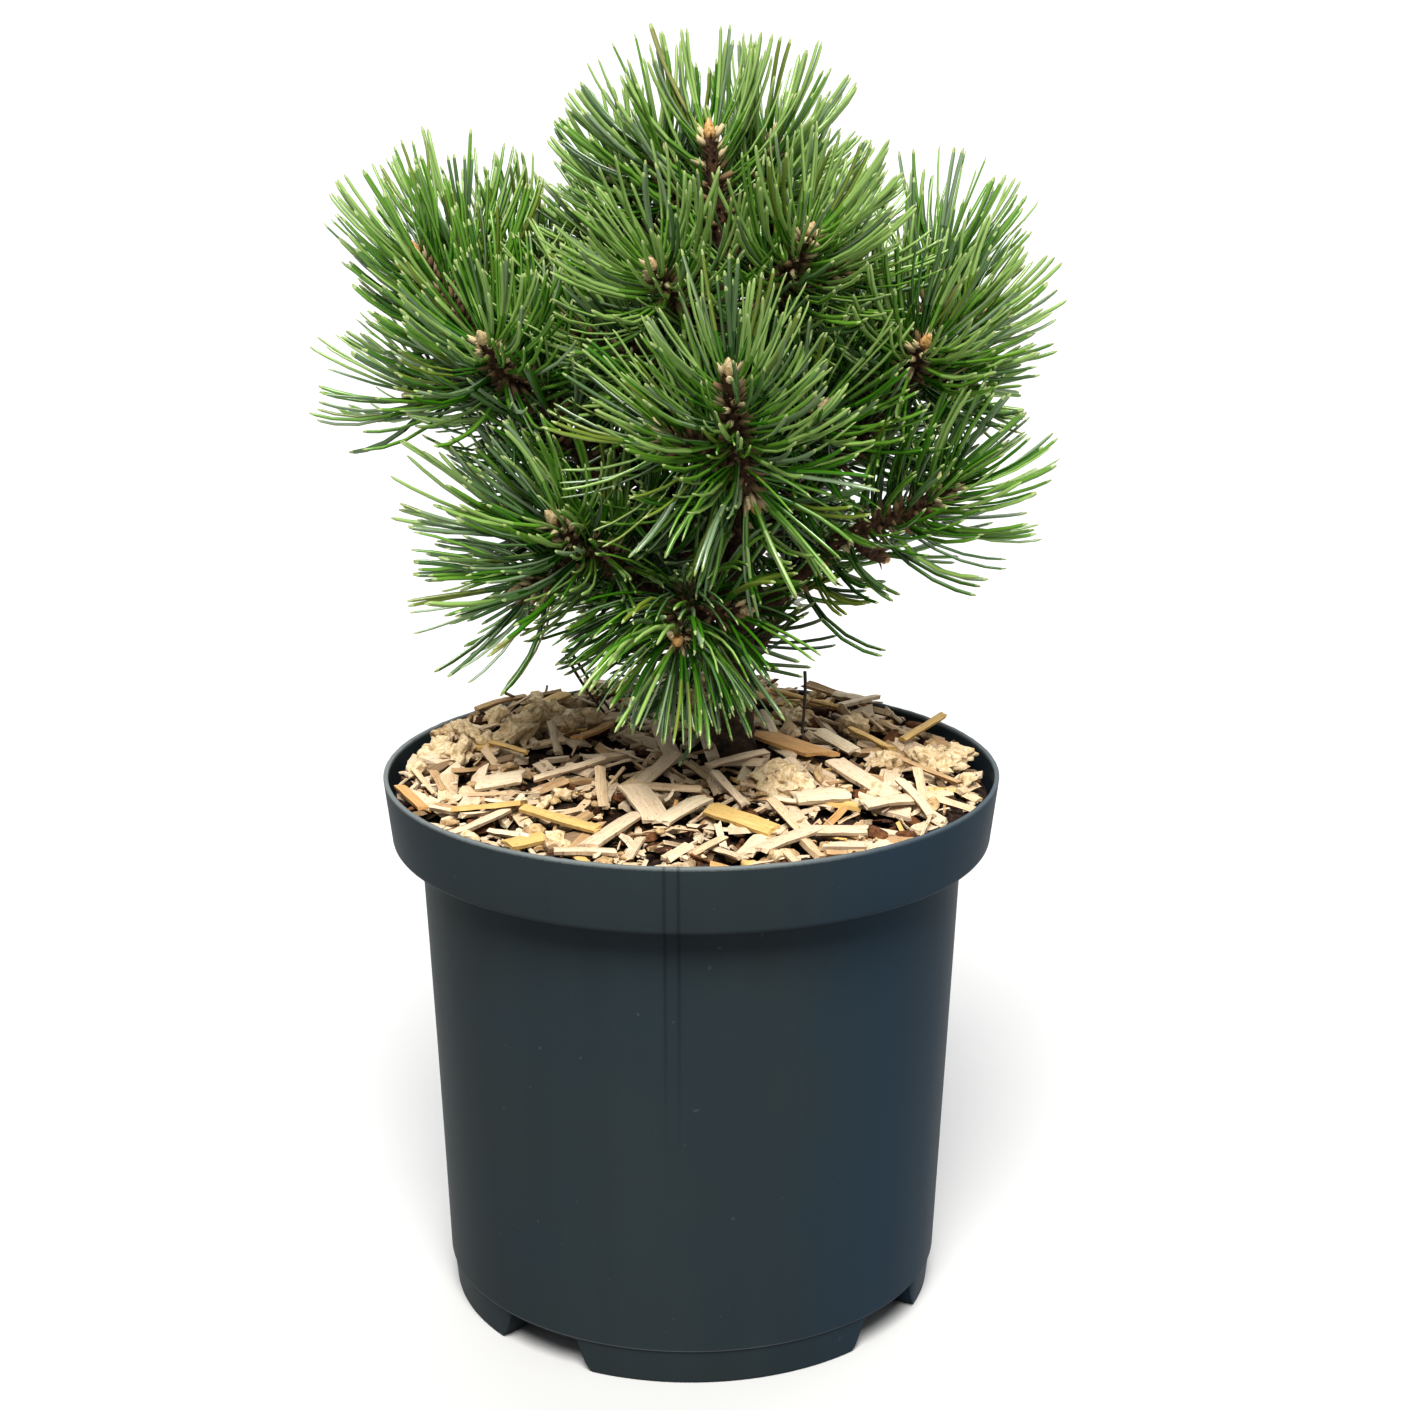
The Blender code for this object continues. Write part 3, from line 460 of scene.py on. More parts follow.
class Shape:
    """Corners and faces gathered from several arrays, then made one mesh."""

    def __init__(self):
        self.corners, self.faces, self.looks, self.maps, self.count = [], [], [], [], 0

    def tubes(self, rings, looks, cap_looks=None, grain=None):
        """Add many closed tubes at once. The rings are (tubes, rings, sides, 3), and each end closes at
        the middle of its last ring. Looks holds one for all, one for each tube, or, where the caps
        have their own, one for each tube, ring step and side. Grain maps each corner."""
        many, count, sides, _ = rings.shape
        if cap_looks is None:
            cap_looks, looks = (looks, looks), np.reshape(looks, (-1, 1, 1))
        ends = rings[:, (0, -1)].mean(axis=2)
        corners = np.concatenate([rings.reshape(many, count * sides, 3), ends], axis=1).reshape(-1, 3)
        block = count * sides + 2
        quads = ring_faces(count, sides)
        first = fan_faces(0, sides, block - 2, False)
        last = fan_faces((count - 1) * sides, sides, block - 1, True)
        offsets = (np.arange(many) * block)[:, None, None] + self.count
        self.faces += [(faces[None] + offsets).reshape(-1, faces.shape[1]) for faces in (quads, first, last)]
        self.looks.append(np.broadcast_to(looks, (many, count - 1, sides)).reshape(-1))
        self.looks += [np.repeat(np.broadcast_to(look, many), sides) for look in cap_looks]
        if grain is None:
            self.maps.append(np.zeros((len(corners), 2)))
        else:
            middle = grain[:, (0, -1)].mean(axis=2)
            grain = np.concatenate([grain.reshape(many, count * sides, 2), middle], axis=1)
            self.maps.append(grain.reshape(-1, 2))
        self.corners.append(corners)
        self.count += len(corners)

    def piece(self, name, materials, nodes=(), sharp=None):
        """Make the mesh and its object, which rides on the root body in the place of some nodes."""
        mesh = bpy.data.meshes.new(name)
        corners = np.concatenate(self.corners)
        sizes = np.concatenate([np.full(len(faces), faces.shape[1]) for faces in self.faces])
        loops = np.concatenate([faces.ravel() for faces in self.faces])
        mesh.vertices.add(len(corners))
        mesh.vertices.foreach_set("co", corners.astype(np.float32).ravel())
        mesh.loops.add(len(loops))
        mesh.loops.foreach_set("vertex_index", loops.astype(np.int32))
        mesh.polygons.add(len(sizes))
        starts = np.concatenate([[0], np.cumsum(sizes)[:-1]])
        mesh.polygons.foreach_set("loop_start", starts.astype(np.int32))
        mesh.polygons.foreach_set("material_index", np.concatenate(self.looks).astype(np.int32))
        mesh.polygons.foreach_set("use_smooth", np.ones(len(sizes), dtype=bool))
        mesh.update(calc_edges=True)
        grain = np.concatenate(self.maps)
        if grain.any():
            layer = mesh.uv_layers.new(name="grain")
            layer.data.foreach_set("uv", grain[loops].astype(np.float32).ravel())
        for material in materials:
            mesh.materials.append(material)
        if sharp is not None:
            mesh.set_sharp_from_angle(angle=sharp)
        obj = bpy.data.objects.new(name, mesh)
        bpy.context.scene.collection.objects.link(obj)
        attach(obj, "root")
        if nodes:
            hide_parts(*nodes)


def ring_faces(rings, sides):
    """The four-cornered faces between rings of corners, ring by ring."""
    ring, side = np.meshgrid(np.arange(rings - 1), np.arange(sides), indexing="ij")
    following = (side + 1) % sides
    corners = [ring * sides + side, ring * sides + following,
               (ring + 1) * sides + following, (ring + 1) * sides + side]
    return np.stack(corners, axis=-1).reshape(-1, 4)


def fan_faces(first, sides, middle, forwards):
    """The three-cornered faces from a ring to a middle corner."""
    side = np.arange(sides)
    following = (side + 1) % sides
    pair = (side, following) if forwards else (following, side)
    return np.stack([first + pair[0], first + pair[1], np.full(sides, middle)], axis=-1)


def ring_ways(side, face, turn):
    """The ways out from a line at angles round it, from its side towards its face."""
    return side[..., None, :] * np.cos(turn)[:, None] + face[..., None, :] * np.sin(turn)[:, None]


def even_turn(sides):
    return np.arange(sides) * TURN / sides


def hooked_curve(start, handle, end, t):
    """The square curve that leaves its start towards a handle and arrives at its end from there."""
    return start * (1 - t) ** 2 + handle * 2 * t * (1 - t) + end * t * t


def turned_grid(profile, azimuths):
    """A profile of (radius, height) carried round +Z: corners (profile, azimuths, 3)."""
    radius, height = profile[:, :1], profile[:, 1:]
    return np.stack([radius * np.cos(azimuths), radius * np.sin(azimuths), height + 0 * azimuths], axis=-1)


def rounded_profile(points, steps=5):
    """A profile of (radius, height, rounding): each corner with a rounding becomes a hooked curve
    that leaves the corner's two sides at the rounding's distance from it."""
    points = np.array(points, dtype=float)
    made = [points[:1, :2]]
    t = np.linspace(0.0, 1.0, steps)[:, None]
    for before, corner, after in zip(points[:-2, :2], points[1:-1], points[2:, :2]):
        middle, rounding = corner[:2], corner[2]
        if rounding == 0.0:
            made.append(middle[None])
            continue
        start = middle + unit(before - middle) * rounding
        made.append(hooked_curve(start, middle, middle + unit(after - middle) * rounding, t))
    return np.concatenate([*made, points[-1:, :2]])


def closed_piece(name, rings, material, node, sharp=None):
    """A piece of one closed tube, such as a turned grid that begins and ends at the axis."""
    shape = Shape()
    shape.tubes(rings[None], 0)
    shape.piece(name, [material], [node], sharp)


# Lines of the trunk, boughs and twigs, as in the solids


def trunk_point(share):
    share = np.asarray(share, dtype=float)
    bent = np.maximum(0.0, share - TRUNK_STRAIGHT_FOOT) / (1.0 - TRUNK_STRAIGHT_FOOT)
    straight = TRUNK_FOOT + (TRUNK_TOP - TRUNK_FOOT) * share[..., None]
    return straight + TRUNK_BEND * np.sin(math.pi * bent)[..., None]


def trunk_share(height):
    return (np.asarray(height, dtype=float) - TRUNK_FOOT[2]) / (TRUNK_TOP[2] - TRUNK_FOOT[2])


def crown_place(azimuth, reach, height):
    middle = trunk_point(trunk_share(min(height, TRUNK_TOP[2])))
    turn = math.radians(azimuth)
    return np.array((middle[0] + math.cos(turn) * reach, middle[1] + math.sin(turn) * reach, height))


def bent_line(start, leave, tip, arrive):
    """A cubic curve between two points whose handles lie a set share of the span along its first and
    last ways."""
    span = np.linalg.norm(tip - start)
    first, second = start + leave * span * LIMB_EASE, tip - arrive * span * LIMB_EASE
    t = np.linspace(0.0, 1.0, LINE_POINTS)[:, None]
    return start * (1 - t) ** 3 + first * 3 * t * (1 - t) ** 2 + second * 3 * t * t * (1 - t) + tip * t ** 3


def distances_along(line):
    steps = np.linalg.norm(np.diff(line, axis=0), axis=1)
    return np.concatenate([[0.0], np.cumsum(steps)])


def read_along(values, lengths, places):
    return np.stack([np.interp(places, lengths, values[:, axis]) for axis in range(3)], axis=-1)


def points_at(line, places):
    """The points of a line at distances along it."""
    return read_along(line, distances_along(line), places)


def stretch_of(line, begin, end, count):
    return points_at(line, np.linspace(begin, end, count))


def twig_line(start, bud):
    """A side twig bows below the straight way to its bud by a set share of its length."""
    span = bud - start
    way = unit(span)
    below = way * way[2] - UP
    t = np.linspace(0.0, 1.0, LINE_POINTS)[:, None]
    return start + span * t + below * TWIG_BOW * np.linalg.norm(span) * np.sin(math.pi * t)


def limb_line(name):
    start_height, crotch_place, buds = BOUGHS[name]
    start = trunk_point(trunk_share(start_height))
    crotch = crown_place(*crotch_place)
    out = unit((crotch - start) * (1.0, 1.0, 0.0))
    leave = out * math.cos(BOUGH_RISE) + UP * math.sin(BOUGH_RISE)
    return bent_line(start, leave, crotch, unit(crown_place(*buds[0]) - crotch))


def bough_length(limb):
    return max(BOUGH_LEAST, distances_along(limb)[-1] * BOUGH_SHARE)


def mass_lines(name):
    """The lines of a mass's twigs. The first goes on from the bough and the others fork from it."""
    if name == "leader":
        buds = [crown_place(*bud) for bud in LEADER_BUDS]
        whole = bent_line(TRUNK_TOP, UP, buds[0], unit(buds[0] - TRUNK_TOP))
        forks, begin, crotch_at = LEADER_FORKS, 0.0, 0.0
    else:
        buds = [crown_place(*bud) for bud in BOUGHS[name][2]]
        limb = limb_line(name)
        crotch_at = distances_along(limb)[-1]
        whole = np.concatenate([limb, twig_line(limb[-1], buds[0])[1:]])
        forks, begin = TWIG_FORKS, bough_length(limb)
    length = distances_along(whole)[-1]
    lines = [stretch_of(whole, begin, length, LINE_POINTS)]
    for bud, fork in zip(buds[1:], forks):
        at = crotch_at + (length - crotch_at) * fork
        lines.append(twig_line(points_at(whole, at), bud))
    return lines


def twig_radius(share):
    return TWIG_FOOT_RADIUS + (TWIG_TIP_RADIUS - TWIG_FOOT_RADIUS) * share


def frames_along(line):
    """The way of a line at each point, and two directions square to it and to each other."""
    ways = unit(np.gradient(line, axis=0))
    span = line[-1] - line[0]
    across = np.cross(span, UP)
    if np.linalg.norm(across) < 0.05 * np.linalg.norm(span):
        across = np.array((1.0, 0.0, 0.0))
    side = unit(across - ways * (ways @ across)[:, None])
    return ways, side, np.cross(side, ways)


def frames_at(line, places):
    """The points of a line at distances along it, its way there, and two directions square to it."""
    lengths = distances_along(line)
    return points_at(line, places), *(unit(read_along(part, lengths, places)) for part in frames_along(line))


def distance_to(points, starts, ends):
    """How far each point lies from the nearest of some straight stretches."""
    nearest = np.full(len(points), np.inf)
    for start, end in zip(starts, ends):
        along = end - start
        share = np.clip((points - start) @ along / (along @ along), 0.0, 1.0)
        gap = np.linalg.norm(points - start - share[:, None] * along, axis=1)
        nearest = np.minimum(nearest, gap)
    return nearest


# Pot, soil and chips


def foot_gap_height(azimuths):
    """How high the foot ring is cut away: up to the floor's underside inside each gap, and down to
    nothing outside it. The slant between rises as a power of its own width, so that it leaves the
    floor in a curve."""
    spacing = TURN / FOOT_COUNT
    from_gap = np.abs((azimuths - FIRST_GAP_AZIMUTH + spacing / 2) % spacing - spacing / 2)
    slant = (FOOT_GAP_ANGLE + FOOT_GAP_FLARE) / 2 - from_gap
    share = np.clip(slant / (FOOT_GAP_FLARE / 2), 0.0, 1.0)
    return FLOOR_UNDERSIDE * share ** FOOT_GAP_EASE


def pot_azimuths():
    """Even steps round the pot, with close ones where the foot segments end."""
    even = np.arange(POT_STEPS) * TURN / POT_STEPS
    extra = []
    for number in range(FOOT_COUNT):
        middle = FIRST_GAP_AZIMUTH + number * TURN / FOOT_COUNT
        for sign in (-1, 1):
            edge = middle + sign * np.linspace(FOOT_GAP_ANGLE, FOOT_GAP_ANGLE + FOOT_GAP_FLARE, 13) / 2
            extra.append(edge % TURN)
    return np.unique(np.round(np.concatenate([even, *extra]), 6))


def build_pot():
    """The pot is turned from a profile with rounded corners. Its foot ring is lifted where the gaps
    are, its wall is a little out of round, and its lip is slightly rough."""
    body_top = np.array((BODY_TOP_RADIUS, LEDGE, 0))
    body_foot = np.array((BODY_FOOT_RADIUS, FOOT_HEIGHT, 0))
    wall = [body_top * (1 - down) + body_foot * down for down in (0.25, 0.5, 0.75)]
    profile = rounded_profile([
        (0.0002, FLOOR_TOP, 0), (BODY_FOOT_RADIUS - WALL, FLOOR_TOP, 0.002),
        (BODY_TOP_RADIUS - WALL, LEDGE + WALL, 0.0008),
        (COLLAR_FOOT_RADIUS - WALL, LEDGE + WALL, 0.0015),
        (RIM_RADIUS - WALL, POT_HEIGHT, 0.0006), (RIM_RADIUS, POT_HEIGHT, 0.0006),
        ((RIM_RADIUS + COLLAR_FOOT_RADIUS) / 2, (POT_HEIGHT + LEDGE) / 2, 0),
        (COLLAR_FOOT_RADIUS, LEDGE, 0.0020), (BODY_TOP_RADIUS, LEDGE, 0.0009), *wall,
        (BODY_FOOT_RADIUS, FOOT_HEIGHT, 0.0005),
        (BODY_FOOT_RADIUS - STEP_DEPTH, FOOT_HEIGHT - STEP_DEPTH, 0.0003),
        (FOOT_RADIUS, 0.0, 0.0010), (FOOT_RADIUS - FOOT_WIDTH, 0.0, 0.0008),
        (FOOT_RADIUS - FOOT_WIDTH, FLOOR_UNDERSIDE, 0), (0.0002, FLOOR_UNDERSIDE, 0),
    ])
    azimuths = pot_azimuths()
    grid = turned_grid(profile, azimuths)
    height = grid[..., 2]
    outside = np.linalg.norm(grid[..., :2], axis=-1) > BODY_FOOT_RADIUS * 0.9
    lifted = np.maximum(height, foot_gap_height(azimuths)[None, :])
    height[:] = np.where(height < FLOOR_UNDERSIDE, lifted, height)
    belly = np.sin(math.pi * np.clip((height - FOOT_HEIGHT) / (LEDGE - FOOT_HEIGHT), 0, 1))
    waves = 0.00022 * np.sin(3 * azimuths + 0.8) + 0.00012 * np.sin(7 * azimuths)
    grid[..., :2] *= (1 + belly * waves / BODY_TOP_RADIUS * outside)[..., None]
    burr = cell_noise(grid, 0.0022, 5) * 0.00016
    height += burr * (height > POT_HEIGHT - 0.0004)
    closed_piece("nursery_pot", grid[::-1], pot_plastic(), "pot", math.radians(32))


def wall_radius(height):
    """The pot's inner radius at a height."""
    if height < LEDGE + WALL:
        share = (height - FLOOR_TOP) / (LEDGE + WALL - FLOOR_TOP)
        return BODY_FOOT_RADIUS + (BODY_TOP_RADIUS - BODY_FOOT_RADIUS) * share - WALL
    share = (height - LEDGE) / COLLAR_HEIGHT
    return COLLAR_FOOT_RADIUS + (RIM_RADIUS - COLLAR_FOOT_RADIUS) * share - WALL


def layer_height(radius):
    """The top of the chip layer: flat in the middle, falling to the pot's wall."""
    fall = np.clip((radius - FLAT_RADIUS) / (wall_radius(SOIL_TOP) - FLAT_RADIUS), 0.0, 1.0)
    return SOIL_TOP + LAYER_DEPTH - SOIL_FALL * fall


def heap(x, y):
    """How much higher the chips lie than the even layer: a bank against the back of the wall, and a
    mound round the trunk that dies away like a bell curve."""
    turned = (np.arctan2(y, x) - BACK_HEAP_AZIMUTH + math.pi) % TURN - math.pi
    outward = np.clip((np.hypot(x, y) - 0.015) / 0.065, 0.0, 1.0)
    bank = BACK_HEAP * np.exp(-(turned / BACK_HEAP_WIDTH) ** 2) * outward
    from_trunk = np.hypot(x - TRUNK_FOOT[0], y - TRUNK_FOOT[1])
    return bank + TRUNK_HEAP * np.exp(-(from_trunk / TRUNK_HEAP_WIDTH) ** 2)


def on_layer(x, y, lift):
    """Places on top of the banked chip layer, raised by a lift."""
    return np.stack([x, y, layer_height(np.hypot(x, y)) + heap(x, y) + lift], axis=-1)


def build_growing_mix():
    """The soil fills the pot. Its top follows the chip layer a little lower, with crumbs raised on it
    by layered noise that dies out at the wall."""
    edge = wall_radius(SOIL_TOP - SOIL_FALL) - FILL_GAP
    radii = np.linspace(0.0002, edge, SOIL_RINGS)
    top = np.stack([radii, layer_height(radii) - SOIL_BELOW_CHIPS], axis=-1)
    below = np.array([
        (wall_radius(LEDGE + WALL + FILL_GAP) - FILL_GAP, LEDGE + WALL + FILL_GAP),
        (wall_radius(LEDGE + WALL - FILL_GAP) - FILL_GAP * 2, LEDGE + WALL + FILL_GAP),
        (wall_radius(FLOOR_TOP + FILL_GAP) - FILL_GAP, FLOOR_TOP + FILL_GAP),
        (0.0002, FLOOR_TOP + FILL_GAP),
    ])
    grid = turned_grid(np.concatenate([top, below]), even_turn(SOIL_SIDES))
    surface = grid[:SOIL_RINGS]
    crumbs = layered_noise(surface, 0.0065, 3, 3) * 0.0016 + np.abs(cell_noise(surface, 0.0024, 9)) * 0.0010
    still = np.clip((edge - radii) / 0.003, 0.0, 1.0)[:, None]
    banked = heap(surface[..., 0], surface[..., 1]) * np.minimum(1.0, still * 0.4 + 0.5)
    surface[..., 2] += crumbs * still + banked
    closed_piece("growing_mix", grid[::-1], growing_mix(), "soil")


def turns(yaw, pitch, roll):
    """Rotation matrices (n, 3, 3) that roll about X, then pitch about Y, then yaw about Z."""
    cy, cp, cr = (np.cos(angle) for angle in (yaw, pitch, roll))
    sy, sp, sr = (np.sin(angle) for angle in (yaw, pitch, roll))
    rows = [[cy * cp, cy * sp * sr - sy * cr, cy * sp * cr + sy * sr],
            [sy * cp, sy * sp * sr + cy * cr, sy * sp * cr - cy * sr],
            [-sp, cp * sr, cp * cr]]
    return np.moveaxis(np.array(rows), -1, 0)


def strips(rng, length, width, thickness, curl, slant, ragged, rings=6, across=5):
    """Reed strips lying along X: an outer and an inner arc across, joined at both edges, carried
    along the length. The cut ends slant by an amount across the width and are ragged by noise."""
    many = len(length)
    over = np.linspace(-0.5, 0.5, across)
    loop = np.concatenate([over, over[::-1]])
    upper = np.concatenate([np.ones(across), np.zeros(across)])
    angle = loop[None, :] * curl[:, None]
    radius = width / np.maximum(curl, 0.05)
    depth = radius[:, None] - (1 - upper[None, :]) * thickness[:, None]
    y = (np.sin(angle) * depth)[:, None, :]
    z = (np.cos(angle) * depth - radius[:, None] + thickness[:, None] / 2)[:, None, :]
    length, width, slant, ragged = (part[:, None, None] for part in (length, width, slant, ragged))
    along = np.linspace(-0.5, 0.5, rings)[None, :, None] * length
    at_end = np.zeros((1, rings, 1))
    at_end[:, (0, -1)] = 1.0
    rough = rng.normal(0.0, 1.0, (many, rings, len(loop))) * ragged
    x = along + slant * y * at_end + rough * at_end
    t = np.linspace(-1.0, 1.0, rings)[None, :, None]
    bow = rng.normal(0.0, 0.012, many)[:, None, None] * length * (1 - t * t)
    narrow = 1.0 - np.abs(rng.normal(0.0, 0.05, (many, rings, 1)))
    uneven = rng.normal(0.0, 0.00012, (many, rings, len(loop)))
    local = np.stack([x, y * narrow + bow * 0.4, z + bow + uneven], axis=-1)
    grain_u = along + rng.uniform(0, 5, many)[:, None, None] + 0 * y
    grain_v = loop * width + rng.uniform(0, 5, many)[:, None, None] + 0 * along
    return local, np.stack([grain_u, grain_v], axis=-1)


def lie(local, places, yaw, pitch, roll):
    """Turn local shapes and set them at their places."""
    matrices = turns(yaw, pitch, roll)
    return np.einsum("nij,n...j->n...i", matrices, local) + places.reshape(len(places), 1, 1, 3)


def inside_pot(points):
    """Points that would pass the pot's wall below its lip are drawn in to just inside it, as chips that
    press against the wall are."""
    radius, height = np.linalg.norm(points[..., :2], axis=-1), points[..., 2]
    rise = np.clip((height - LEDGE) / COLLAR_HEIGHT, 0.0, 1.0)
    wall = COLLAR_FOOT_RADIUS + (RIM_RADIUS - COLLAR_FOOT_RADIUS) * rise - WALL - WALL_GAP
    limit = np.where(height < POT_HEIGHT + 0.0003, wall, np.inf)
    shrink = np.minimum(1.0, limit / np.maximum(radius, 1e-6))
    return np.concatenate([points[..., :2] * shrink[..., None], height[..., None]], axis=-1)


def scatter(rng, half_length, lift, trunk_gap=0.0):
    """Places on the chip layer, with the ends of each chip inside the pot and off the trunk."""
    places, yaws = [], []
    edge = wall_radius(SOIL_TOP)
    while len(places) < len(half_length):
        reach = half_length[len(places)]
        radius = (edge - 0.0015) * math.sqrt(rng.uniform(0, 1))
        azimuth, yaw = rng.uniform(0, TURN), rng.uniform(0, TURN)
        place = np.array((radius * math.cos(azimuth), radius * math.sin(azimuth)))
        heading = np.array((math.cos(yaw), math.sin(yaw)))
        if max(np.linalg.norm(place + heading * end) for end in (-reach, reach)) > edge - CHIP_EDGE_GAP:
            continue
        from_trunk = place - TRUNK_FOOT[:2]
        along = np.clip(from_trunk @ heading, -reach, reach)
        if np.linalg.norm(from_trunk - heading * along) < TRUNK_FOOT_RADIUS + TRUNK_GAP + trunk_gap:
            continue
        places.append(on_layer(*place, lift[len(places)]))
        yaws.append(yaw)
    return np.array(places), np.array(yaws)


def slope_tilt(places, yaw):
    """The pitch that lays a chip along the layer's slope."""
    radius = np.linalg.norm(places[:, :2], axis=1)
    fall = SOIL_FALL / (wall_radius(SOIL_TOP) - FLAT_RADIUS) * (radius > FLAT_RADIUS)
    outward = places[:, :2] / np.maximum(radius, 1e-6)[:, None]
    return np.arctan(fall * (outward[:, 0] * np.cos(yaw) + outward[:, 1] * np.sin(yaw)))


REED_LOOKS = [
    ("reed_cream", (0.95, 0.77, 0.56), (0.66, 0.49, 0.32), 0.45, 0.36),
    ("reed_straw", (0.90, 0.69, 0.45), (0.60, 0.42, 0.25), 0.50, 0.22),
    ("reed_tan", (0.68, 0.46, 0.25), (0.40, 0.24, 0.115), 0.60, 0.13),
    ("reed_golden", (0.86, 0.60, 0.24), (0.64, 0.40, 0.135), 0.30, 0.05),
    ("reed_pale", (0.97, 0.82, 0.61), (0.72, 0.56, 0.36), 0.40, 0.16),
    ("reed_orange", (0.78, 0.46, 0.19), (0.54, 0.29, 0.11), 0.30, 0.02),
    ("reed_brown", (0.40, 0.27, 0.155), (0.20, 0.125, 0.070), 0.60, 0.07),
]
# Tiers of chips, each higher and tidier than the one below, then slivers: how many, the ranges of
# their length, width and lift, and how far they tilt
CHIP_TIERS = [
    (300, (0.004, 0.014), (0.0014, 0.0042), (-0.0036, -0.0010), 0.34),
    (240, (0.007, 0.020), (0.0026, 0.0070), (-0.0018, 0.0006), 0.24),
    (105, (0.011, 0.025), (0.0040, 0.0088), (-0.0002, 0.0022), 0.15),
    (170, (0.005, 0.017), (0.0006, 0.0016), (-0.0012, 0.0026), 0.26),
]
MM = 0.001
# The chips that catch the eye: place x and y, lift, length and width in millimetres, the curl in
# radians, yaw and pitch in degrees, and the look
CHOSEN_CHIPS = [
    (-9, 6, 4.5, 30, 7.2, 0.8, -76, 12, 0), (-13, -20, 4, 29, 6.2, 0.9, 62, -10, 0),
    (38, 6, 3.5, 29, 11, 0.3, -38, 6, 5), (-72, -48, 3.5, 25, 12, 0.2, 1, 0, 3),
    (-70, -24, 3.5, 17, 9, 0.7, 12, 0, 4), (-45, -18, 4.2, 30, 5, 1.1, 32, 0, 0),
    (-46, -64, 4, 36, 5.6, 0.5, -40, 0, 3), (-75, -61, 3.2, 28, 5.2, 0.8, 45, 0, 0),
    (-32, -38, 4, 25, 4.6, 1.2, -84, 14, 1), (-27, -74, 3.5, 30, 8, 0.6, 58, 0, 0),
    (-16, -56, 4.8, 24, 11, 0.3, -66, 10, 0), (-3, -60, 4.2, 23, 8.5, 0.8, 48, -4, 4),
    (-10, -41, 4.6, 28, 6.2, 1.6, -10, 0, 1), (18, -66, 3.6, 28, 8.8, 0.4, -38, 0, 3),
    (14, -42, 4.6, 24, 4.6, 1, -62, 8, 0), (33, -80, 3, 28, 8, 0.7, 45, 0, 0),
    (50, -70, 2.8, 24, 7.5, 0.6, 8, 0, 0), (47, -42, 3.8, 21, 10, 0.7, 22, 0, 4),
    (63, -23, 4, 32, 9.2, 0.4, -50, 6, 0), (71, -42, 3.4, 22, 7.8, 0.6, 30, 0, 0),
    (81, -38, 4, 27, 4.4, 1.1, -68, 8, 0), (84, -27, 4.6, 21, 4.6, 1.2, -86, 16, 1),
    (90, 36, 6.4, 29, 4.8, 1.2, 52, -12, 3), (86, -6, 4, 34, 3.4, 1.2, -40, 4, 2),
    (-101, -34, 3, 20, 4.8, 0.6, -58, 10, 5), (-99, -18, 3.4, 28, 2.6, 1.2, -66, 8, 1),
    (-58, 60, 3, 19, 8.8, 0.5, 42, -8, 3), (17, -14, 4.4, 28, 4.6, 1.3, 40, 0, 0),
    (-38, 22, 4, 22, 5, 0.8, 58, 0, 5), (45, 68, 3, 32, 3, 1.2, -36, 4, 3),
    (54, -82, 2.6, 18, 6, 0.7, 8, 0, 0), (6, -86, 2.4, 18, 3.6, 1.2, 52, 0, 1),
    (-36, -88, 2, 22, 5.5, 0.7, -8, 0, 0), (-57, -78, 2.4, 14, 8.5, 0.5, 22, 0, 3),
    (69, 22, 4, 22, 4.6, 1, -48, 6, 3), (55, 14, 4.4, 21, 5.8, 0.8, -52, 6, 4),
    (34, -62, 3.6, 24, 4.6, 0.9, -62, 8, 1), (6, 4, 5.2, 26, 5.4, 0.9, -80, 20, 4),
    (30, 24, 4.4, 20, 4, 1, -78, 14, 4), (-86, -46, 3, 14, 4, 1.2, -36, 0, 2),
    (-93, -20, 3, 18, 3.8, 1, -72, 8, 2), (-69, 6, 4.4, 19, 2.8, 1.2, -40, 6, 3),
    (24, 80, 6, 14, 6, 0.6, -64, -16, 0), (-4, 84, 5, 20, 6.4, 0.6, 20, -8, 0),
    (-30, 80, 4, 18, 7, 0.8, -28, -6, 4), (66, 70, 4, 18, 7, 0.5, 28, -10, 4),
]
# The larger lumps of pith: place x and y, and half their length, in millimetres
PITH_LUMPS = [
    (-66, 30, 8.5), (-44, 36, 8.5), (-88, 8, 6.5), (-80, 20, 6), (34, -30, 8.5), (74, 2, 6), (92, 6, 9.5),
    (40, 46, 7), (62, 40, 6), (100, 18, 6), (-56, 50, 6), (2, 60, 6), (-98, 14, 5.6), (-89, 34, 5.8),
    (-102.5, -6, 3.8), (-78, 52, 5), (103, -10, 4),
]


